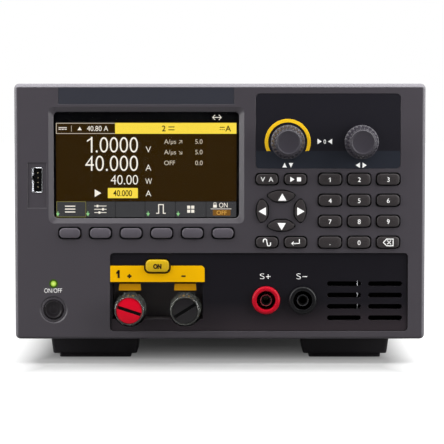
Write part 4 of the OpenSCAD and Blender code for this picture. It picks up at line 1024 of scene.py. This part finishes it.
# %% USB socket
ux, uh = middle("usb_socket")
shell = slab("usb_shell", ux - 2.85, ux + 2.85, 0.22, 13.4, uh - 6.55, uh + 6.55)
soften(shell, "EDGE", runs_deep, 0.5, 4)
choose(shell, "FACE", looks_front)
bpy.ops.mesh.inset(thickness=0.42 * MM, depth=0)
bpy.ops.mesh.extrude_region_move(TRANSFORM_OT_translate={"value": (0, 12 * MM, 0)})
soften(shell, "EDGE", lambda c, d: c.y < FACE + 0.23 * MM, 0.08, 2)
fit(done(shell), nickel, "instrument", "port_metal", "usb_socket")
tongue = slab("usb_tongue", ux - 1.4, ux + 2.4, 1.1, 12.0, uh - 5.7, uh + 6.0)
soften(tongue, "FACE", looks_front, 0.3, 2)
fit(done(tongue), black_plastic_and_shade, "instrument", "inlet_plastic")
pins = []
for row in range(4):
    pin = slab("usb_pin", ux + 0.2, ux + 0.6, 1.02, 1.2, uh - 4.1 + 2.5 * row, uh - 3.5 + 2.5 * row)
    soften(pin, "FACE", looks_front, 0.1, 2)
    pins.append(done(pin))
lips = []
for foot, head in ((uh - 5.9, uh - 0.3), (uh + 2.2, uh + 6.1)):
    lip = slab("usb_lip", ux - 2.55, ux - 1.6, 0.35, 1.9, foot, head)
    choose(lip, "VERT", lambda v: v.x > (ux - 2) * MM and v.y < FACE + 1 * MM)
    bpy.ops.transform.translate(value=(0, 1.15 * MM, 0))
    lips.append(done(lip))
for foot, tall in ((uh - 6.4, 0.15), (uh + 6.2, 0.22)):
    lip = slab("usb_lip", ux - 0.8, ux + 2.3, 0.2 - tall, 0.4, foot, foot + tall)
    choose(lip, "VERT", lambda v: v.z > BASE + (foot + tall / 2) * MM and v.y < FACE + 0.3 * MM)
    bpy.ops.transform.translate(value=(0, tall * MM, 0))
    lips.append(done(lip))
fit(join("usb_pins", pins), contact, "instrument", "contact_brass")
fit(join("usb_lips", lips), nickel, "instrument", "port_metal")
print("usb socket at", round(ux, 2), round(uh, 2))

# %% [markdown]
# ## Display window
# The window is a clear sheet behind the bevelled recess, and what it shows lies a little way behind it. The sheet
# is a block with softened corners. Places on the screen are measured from the upper left corner of the opening,
# to the right and down, because that is how a screen is drawn.

# %% Display window and backing
win_low, win_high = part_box("display_window")
WIN_X, WIN_H = win_low[0] / MM + 1.45, (win_high[2] - BASE) / MM - 1.45
sheet = slab("window_sheet", WIN_X - 1.4, WIN_X + 97.4, 1.52, 2.2, WIN_H - 56.4, WIN_H + 1.4)
soften(sheet, "EDGE", runs_deep, 1.2, 5)
fit(done(sheet), window_acrylic, "instrument", "window_clear", "display_window")


def pane(name, u0, u1, v0, v1, depth, corner=0.15):
    tile = slab(name, WIN_X + u0, WIN_X + u1, depth, depth + 0.08, WIN_H - v1, WIN_H - v0)
    soften(tile, "EDGE", runs_deep, corner, 3)
    return done(tile)


def on_screen(name, panes, finish):
    fit(join(name, panes), finish, "instrument", "lcd_metal")


on_screen("screen_backing", [pane("backing", -1.3, 97.3, -1.3, 56.3, 2.88, 1.0)], screen_black)
print("window", round(WIN_X, 2), round(WIN_H, 2))

# %% [markdown]
# ## What the screen shows
# The readings are plain numbers with their units. The coloured fields are thin panes, stacked a tenth of a
# millimetre apart, and the six tiles along the bottom stand over the six soft keys. Signs stand in for words.

# %% Screen fields
FIELD_AT, BAR_AT, LINE_AT, FIGURE_AT, SIGN_AT, SLIDER_AT = 2.74, 2.66, 2.58, 2.52, 2.5, 2.44
TILES = [1.15, 16.6, 31.75, 47.2, 62.95, 78.9, 94.7]
on_screen("screen_field", [pane("field", 1.15, 94.7, 11.25, 46.35, FIELD_AT)], screen_field)
on_screen("screen_mode_box", [pane("mode", 1.35, 31.75, 5.9, 11.05, BAR_AT)], screen_field)
edges = [pane("rim", 1.15, 31.75, 5.65, 5.95, LINE_AT), pane("rim", 1.15, 31.75, 10.98, 11.28, LINE_AT),
         pane("rim", 1.15, 1.45, 5.65, 11.28, LINE_AT), pane("rim", 9.0, 9.22, 7.0, 10.2, LINE_AT)]
on_screen("screen_mode_rim", edges, screen_dim)
bars = [pane("bar", 31.75, 94.7, 5.6, 11.28, BAR_AT), pane("bar", 27.9, 43.5, 39.4, 44.7, BAR_AT, 0.3)]
on_screen("screen_yellow_bars", bars, screen_yellow)
tiles = [pane("tile", a + 0.12, b - 0.12, 46.5, 54.55, BAR_AT, 0.4) for a, b in zip(TILES, TILES[1:])]
on_screen("screen_tiles", tiles, screen_tile)
first = [pane("frame", 1.2, 16.5, 46.4, 46.65, LINE_AT), pane("frame", 1.2, 1.45, 46.4, 54.6, LINE_AT),
         pane("frame", 16.3, 16.55, 46.4, 54.6, LINE_AT), pane("frame", 1.2, 16.5, 54.35, 54.6, LINE_AT)]
on_screen("screen_tile_frame", first, screen_olive)
on_screen("screen_amber_box", [pane("box", 82.4, 91.6, 50.75, 53.75, LINE_AT, 0.3)], screen_amber)
on_screen("screen_lock_line", [pane("line", 81.3, 92.1, 50.15, 50.4, LINE_AT, 0.1)], screen_white)
print("screen fields made")

# %% [markdown]
# Letters on a real screen are flat. Here each is cut from the built-in typeface, turned into a mesh, squeezed to
# the width that it has on the screen, and stood in front of its field.

# %% Screen figures


def figure(text, cap, u, v, wide=None, side="CENTER", swell=0.0):
    return letters("figure", text, cap, WIN_X + u, WIN_H - v, FIGURE_AT, wide, side, 0.05, swell)


def sign(glyph, wide, u, v):
    return symbol("sign", glyph, wide, WIN_X + u, WIN_H - v, FIGURE_AT, 0.05)


def numeral_one(name, cap, weight, x, h, depth, thick):
    front, back, top = depth - thick / 2, depth + thick / 2, h + cap / 2
    stem = slab(name, x - weight / 2, x + weight / 2, front, back, h - cap / 2, top)
    flag = slab(name, x - 0.3 * cap, x + weight / 2, front, back, top - weight, top)
    choose(flag, "VERT", lambda v: v.x < (x - 0.2 * cap) * MM)
    bpy.ops.transform.translate(value=(0, 0, -0.22 * cap * MM))
    return join(name, [done(stem), done(flag)])


def cross(name, x, h, size, weight, depth, thick, upright=True):
    front, back = depth - thick / 2, depth + thick / 2
    bars = [slab(name, x - size / 2, x + size / 2, front, back, h - weight / 2, h + weight / 2)]
    if upright:
        bars += [slab(name, x - weight / 2, x + weight / 2, front, back, h + a, h + b)
                 for a, b in ((-size / 2, -weight / 2), (weight / 2, size / 2))]
    for bar in bars:
        soften(bar, "EDGE", runs_deep, weight * 0.12, 2)
        done(bar)
    return join(name, bars)


print("screen figure helpers ready")

# %% White figures of the screen
BIG, MEDIUM, SMALL = -0.12, -0.07, -0.04
white = [numeral_one("one", 8.1, 0.82, WIN_X + 19.6, WIN_H - 16.95, FIGURE_AT, 0.05),
         figure(".0000", 8.1, 43.6, 16.95, 21.9, "RIGHT", BIG), figure("40.000", 8.05, 43.6, 26.55, 27.4, "RIGHT", BIG),
         figure("40.00", 5.0, 43.6, 35.1, 14.2, "RIGHT", MEDIUM), figure("V", 3.2, 49.0, 19.4, swell=SMALL),
         figure("A", 3.2, 49.0, 28.8, swell=SMALL), figure("W", 3.1, 49.1, 35.9, 3.4, swell=SMALL),
         figure("A", 3.1, 49.0, 42.2, swell=SMALL), sign("▶", 3.4, 22.8, 42.1),
         figure("40.80 A", 2.6, 28.2, 8.5, 11.0, "RIGHT"), sign("▲", 2.2, 13.4, 8.5), sign("⎓", 4.2, 4.6, 8.5),
         sign("↔", 5.0, 84.6, 2.8), sign("⎍", 5.0, 55.5, 50.3), figure("ON", 2.5, 87.9, 48.3, 4.4)]
white += [pane("list", 5.6, 11.0, v, v + 0.55, SIGN_AT) for v in (48.6, 50.1, 51.6)]
white += [pane("rail", 20.8, 27.2, v, v + 0.35, SIGN_AT) for v in (48.6, 50.3, 52.0)]
white += [pane("slider", u, u + 1.0, v - 0.45, v + 0.8, SLIDER_AT)
          for u, v in ((22.0, 48.6), (24.9, 50.3), (23.0, 52.0))]
white += [pane("grid", u, u + 1.6, v, v + 1.6, SIGN_AT) for u in (69.1, 71.2) for v in (48.6, 50.7)]
white += [pane("lock", 82.6, 84.5, 48.1, 49.6, SIGN_AT), pane("bow", 82.85, 83.1, 47.2, 48.2, SIGN_AT),
          pane("bow", 84.0, 84.25, 47.2, 48.2, SIGN_AT), pane("bow", 82.85, 84.25, 47.0, 47.3, SIGN_AT)]
print("white figures and signs:", len(white))
on_screen("screen_white_figures", white, screen_white)

# %% Other figures of the screen
dim = []
for v, left, right in ((15.3, "A/µs ↗", "5.0"), (20.75, "A/µs ↘", "5.0"), (26.35, "OFF", "0.0")):
    dim += [figure(left, 2.3, 57.2, v, side="LEFT"), figure(right, 2.3, 73.3, v, side="LEFT")]
on_screen("screen_dim_figures", dim, screen_dim)
dark = [figure("40.000", 3.05, 40.5, 42.1, 9.8, "RIGHT", 0.04), figure("2", 2.9, 57.0, 8.5, swell=0.06),
        figure("A", 2.9, 91.9, 8.5, side="RIGHT", swell=0.06), pane("dc", 86.0, 88.6, 7.7, 8.1, SIGN_AT)]
dark += [pane("wire", 59.4, 62.6, v, v + 0.45, SIGN_AT) for v in (7.5, 9.0)]
dark += [pane("dc", u, u + 0.6, 8.9, 9.3, SIGN_AT) for u in (86.0, 87.0, 88.0)]
on_screen("screen_dark_figures", dark, screen_ink)
on_screen("screen_orange_figures", [figure("OFF", 2.1, 87.0, 52.25, 5.2)], screen_orange)
green = []
for u in (1.9, 17.5, 48.8, 64.4):
    green += [sign("▼", 1.9, u, 53.3), pane("tail", u - 0.2, u + 0.2, 51.6, 52.8, SIGN_AT)]
on_screen("screen_green_signs", green, screen_green)
print("screen figures made")

# %% [markdown]
# ## Printed legends
# The panel is screen printed and the keys are pad printed, in layers of ink a few hundredths of a millimetre
# thick. Numbers stay numbers; what would be words is shown as the signs that such keys also carry.

# %% Legends on the keys
KEY_FACE = -1.58
DIGIT, DIGIT_DROP, INK = 2.35, 0.15, 0.03
for name in PAD[:-1]:
    x, h = middle(name)
    digit = "." if name == "key_point" else name[-1]
    if digit == "1":
        legend = numeral_one(name + "_legend", DIGIT, 0.45, x, h - DIGIT_DROP, KEY_FACE, INK)
    else:
        legend = letters(name + "_legend", digit, DIGIT, x, h - DIGIT_DROP, KEY_FACE, thick=INK)
    fit(legend, white_ink, name + "_body", "key_plastic")
SIGNS = {"key_back": ("⌫", 5.6), "key_meter": ("V  A", 6.4), "key_list": ("▶ ■", 5.6), "key_scope": ("∿", 4.2),
         "key_enter": ("↵", 4.4)}
for name, (glyph, wide) in SIGNS.items():
    x, h = middle(name)
    fit(symbol(name + "_legend", glyph, wide, x, h, KEY_FACE, INK), white_ink, name + "_body", "key_plastic")
print("key legends made:", len(PAD) + len(SIGNS) - 1)

# %% [markdown]
# The arrow keys carry solid triangles. A triangle is a three-sided prism, turned to its direction, with its
# corners taken off by a small bevel.

# %% Arrow legends


def wedge(name, x, h, turn, depth):
    fresh()
    bpy.ops.mesh.primitive_cylinder_add(vertices=3, radius=2.5 * MM, depth=0.04 * MM, rotation=(math.pi / 2, 0, 0),
                                        location=(0, 0, 0))
    piece = settle(name)
    soften(piece, "EDGE", runs_deep, 0.2, 3)
    only(piece)
    piece.rotation_euler = (0, math.radians(turn), 0)
    piece.location = spot(x, depth, h)
    return done(settle(name))


ARROW_PLACES = {"arrow_up": (32.3, 73.4, 0), "arrow_right": (41.3, 66.6, 90), "arrow_down": (32.0, 59.3, 180),
                "arrow_left": (22.6, 66.6, 270)}
for name, (x, h, turn) in ARROW_PLACES.items():
    fit(wedge(name + "_legend", x, h, turn, -1.52), white_ink, name + "_body", "key_plastic")
print("arrow legends made")

# %% [markdown]
# The signs on the panel itself lie on four surfaces: the film behind the knobs, the bezel, the terminal panel, whose
# face is a little deeper, and the yellow bar.

# %% Legends on the panel
PRINT, TERMINAL_PRINT = -0.03, 0.77
panel = [letters("sign", "▲ ▼", 2.2, 35.15, 90.4, PRINT, 5.6), letters("sign", "◀ ▶", 2.2, 73.2, 90.4, PRINT, 5.6),
         letters("sign", "▶ 0 ◀", 2.1, 54.3, 102.7, PRINT, 7.6, swell=0.02)]
fit(join("knob_panel_legend", panel), white_ink, "instrument", "overlay_gloss")
lamp_word = letters("power_legend", "ON/OFF", 2.3, px - 0.2, 25.3, PRINT, 9.2, swell=-0.04)
fit(lamp_word, white_ink, "instrument", "bezel_plastic")
sense = [letters("sign", "S", 3.0, x, 32.7, TERMINAL_PRINT, 2.4, swell=-0.07) for x in (22.0, 40.9)]
sense += [cross("sign", 25.1, 32.5, 2.3, 0.32, TERMINAL_PRINT, 0.04),
          cross("sign", 44.2, 32.5, 2.5, 0.34, TERMINAL_PRINT, 0.04, False)]
fit(join("sense_legend", sense), white_ink, "instrument", "terminal_plastic")
post = [numeral_one("sign", 4.1, 1.15, -52.6, 33.9, PRINT, 0.04), cross("sign", -47.0, 32.8, 2.2, 0.9, PRINT, 0.04),
        cross("sign", -18.9, 32.8, 2.2, 0.8, PRINT, 0.04, False)]
fit(join("post_legend", post), black_ink, "instrument", "label_yellow")
fit(letters("on_key_legend", "ON", 2.2, on_x, on_h - 0.2, -1.74, 4.3, thick=INK, swell=0.2), black_ink, "on_key_body",
    "on_key_yellow")
fit(symbol("power_sign", "⏻", 4.6, px, ph, 0.07, 0.05), dim_ink, "power_button_body", "key_plastic")
print("panel legends made")

# %% [markdown]
# ## Yellow ring
# A broad yellow arc is printed round the left knob and stops level with the knob's lower third. It is a flat ring,
# spun like the other round pieces, and cut off by a level plane.

# %% Yellow ring
kx, kh = middle("knob_left")
ARC = [(0.0, 10.1), (-0.06, 10.14), (-0.06, 11.85), (0.0, 11.9), (0.0, 10.1)]
arc = lathe("knob_ring_print", kx, kh, ARC, 128)
choose(arc, "FACE", anywhere)
bpy.ops.mesh.bisect(plane_co=spot(0, 0, BAND_TOP), plane_no=(0, 0, -1), use_fill=True, clear_outer=True)
fit(done(arc), yellow_print, "instrument", "overlay_gloss")
print("ring round the left knob at", round(kx, 2), round(kh, 2))

# %% [markdown]
# ## Feet
# The feet are hollow rubber mouldings with a slight taper and a separate sole that grips the table. One foot is
# shaped from a block, tapered at its lower end and rounded at its edges, and set down four times.

# %% Feet
FOOT_X, FOOT_DEPTHS = 66.6, (43.0, 321.0)
FOOT_HALF, FOOT_TIP, SOLE_HALF = 24.0, 22.3, 19.1
FOOT_LOW, SOLE_LOW = -10.9, -13.2
feet = []
for x in (-FOOT_X, FOOT_X):
    for deep in FOOT_DEPTHS:
        foot = slab("foot", x - FOOT_HALF, x + FOOT_HALF, deep - 15, deep + 15, FOOT_LOW, 1.6)
        choose(foot, "FACE", looks_down)
        bpy.ops.transform.resize(value=(FOOT_TIP / FOOT_HALF, 1, 1), center_override=spot(x, deep, FOOT_LOW))
        soften(foot, "EDGE", stands_up, 1.6, 4)
        soften(foot, "FACE", looks_down, 0.6, 3)
        sole = slab("sole", x - SOLE_HALF, x + SOLE_HALF, deep - 12, deep + 12, SOLE_LOW, FOOT_LOW + 0.2)
        soften(sole, "EDGE", stands_up, 1.2, 4)
        soften(sole, "FACE", looks_down, 0.4, 2)
        feet += [done(foot), done(sole)]
fit(join("rubber_feet", feet), foot_tpe, "instrument", "foot_rubber", "feet")

# %% [markdown]
# ## Rear sockets
# The mains inlet has three flat metal blades, and the network port a black liner with eight contacts. They are
# small blocks with their tips bevelled, set over the plain solids.

# %% Rear sockets
inlet_x, inlet_h = middle("ac_inlet")
blades = []
for dx, dh in ((-7, -2), (0, 2), (7, -2)):
    x, h = inlet_x + dx, inlet_h + dh
    blade = slab("blade", x - 1.05, x + 1.05, 334, 347.1, h - 2.05, h + 2.05)
    soften(blade, "FACE", looks_back, 0.6, 3)
    blades.append(done(blade))
fit(join("inlet_blades", blades), nickel, "instrument", "contact_brass")
port_low, port_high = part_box("rear_ports")
LAN_HALF, LAN_MIDDLE = 8, 6.6
lan_x, lan_h = port_high[0] / MM - LAN_HALF, (port_low[2] - BASE) / MM + LAN_MIDDLE
liner = slab("port_liner", lan_x - 5.95, lan_x + 5.95, 336.2, 342, lan_h - 4.15, lan_h + 4.15)
choose(liner, "FACE", looks_back)
bpy.ops.mesh.inset(thickness=0.8 * MM, depth=0)
bpy.ops.mesh.extrude_region_move(TRANSFORM_OT_translate={"value": (0, -1.5 * MM, 0)})
fit(done(liner), inlet_pbt, "instrument", "inlet_plastic")
LAN_PITCH = 1.02
wires = []
for i in range(8):
    x = lan_x + LAN_PITCH * (i - 3.5)
    strip = slab("wire", x - 0.2, x + 0.2, 340.0, 347.0, lan_h + 2.6, lan_h + 3.0)
    choose(strip, "FACE", looks_back)
    bpy.ops.transform.translate(value=(0, 0, -1.6 * MM))
    wires.append(done(strip))
fit(join("port_contacts", wires), contact, "instrument", "contact_brass")
print("rear sockets made")

# %% Finish
bpy.context.scene.view_settings.view_transform = "Standard"
fresh()
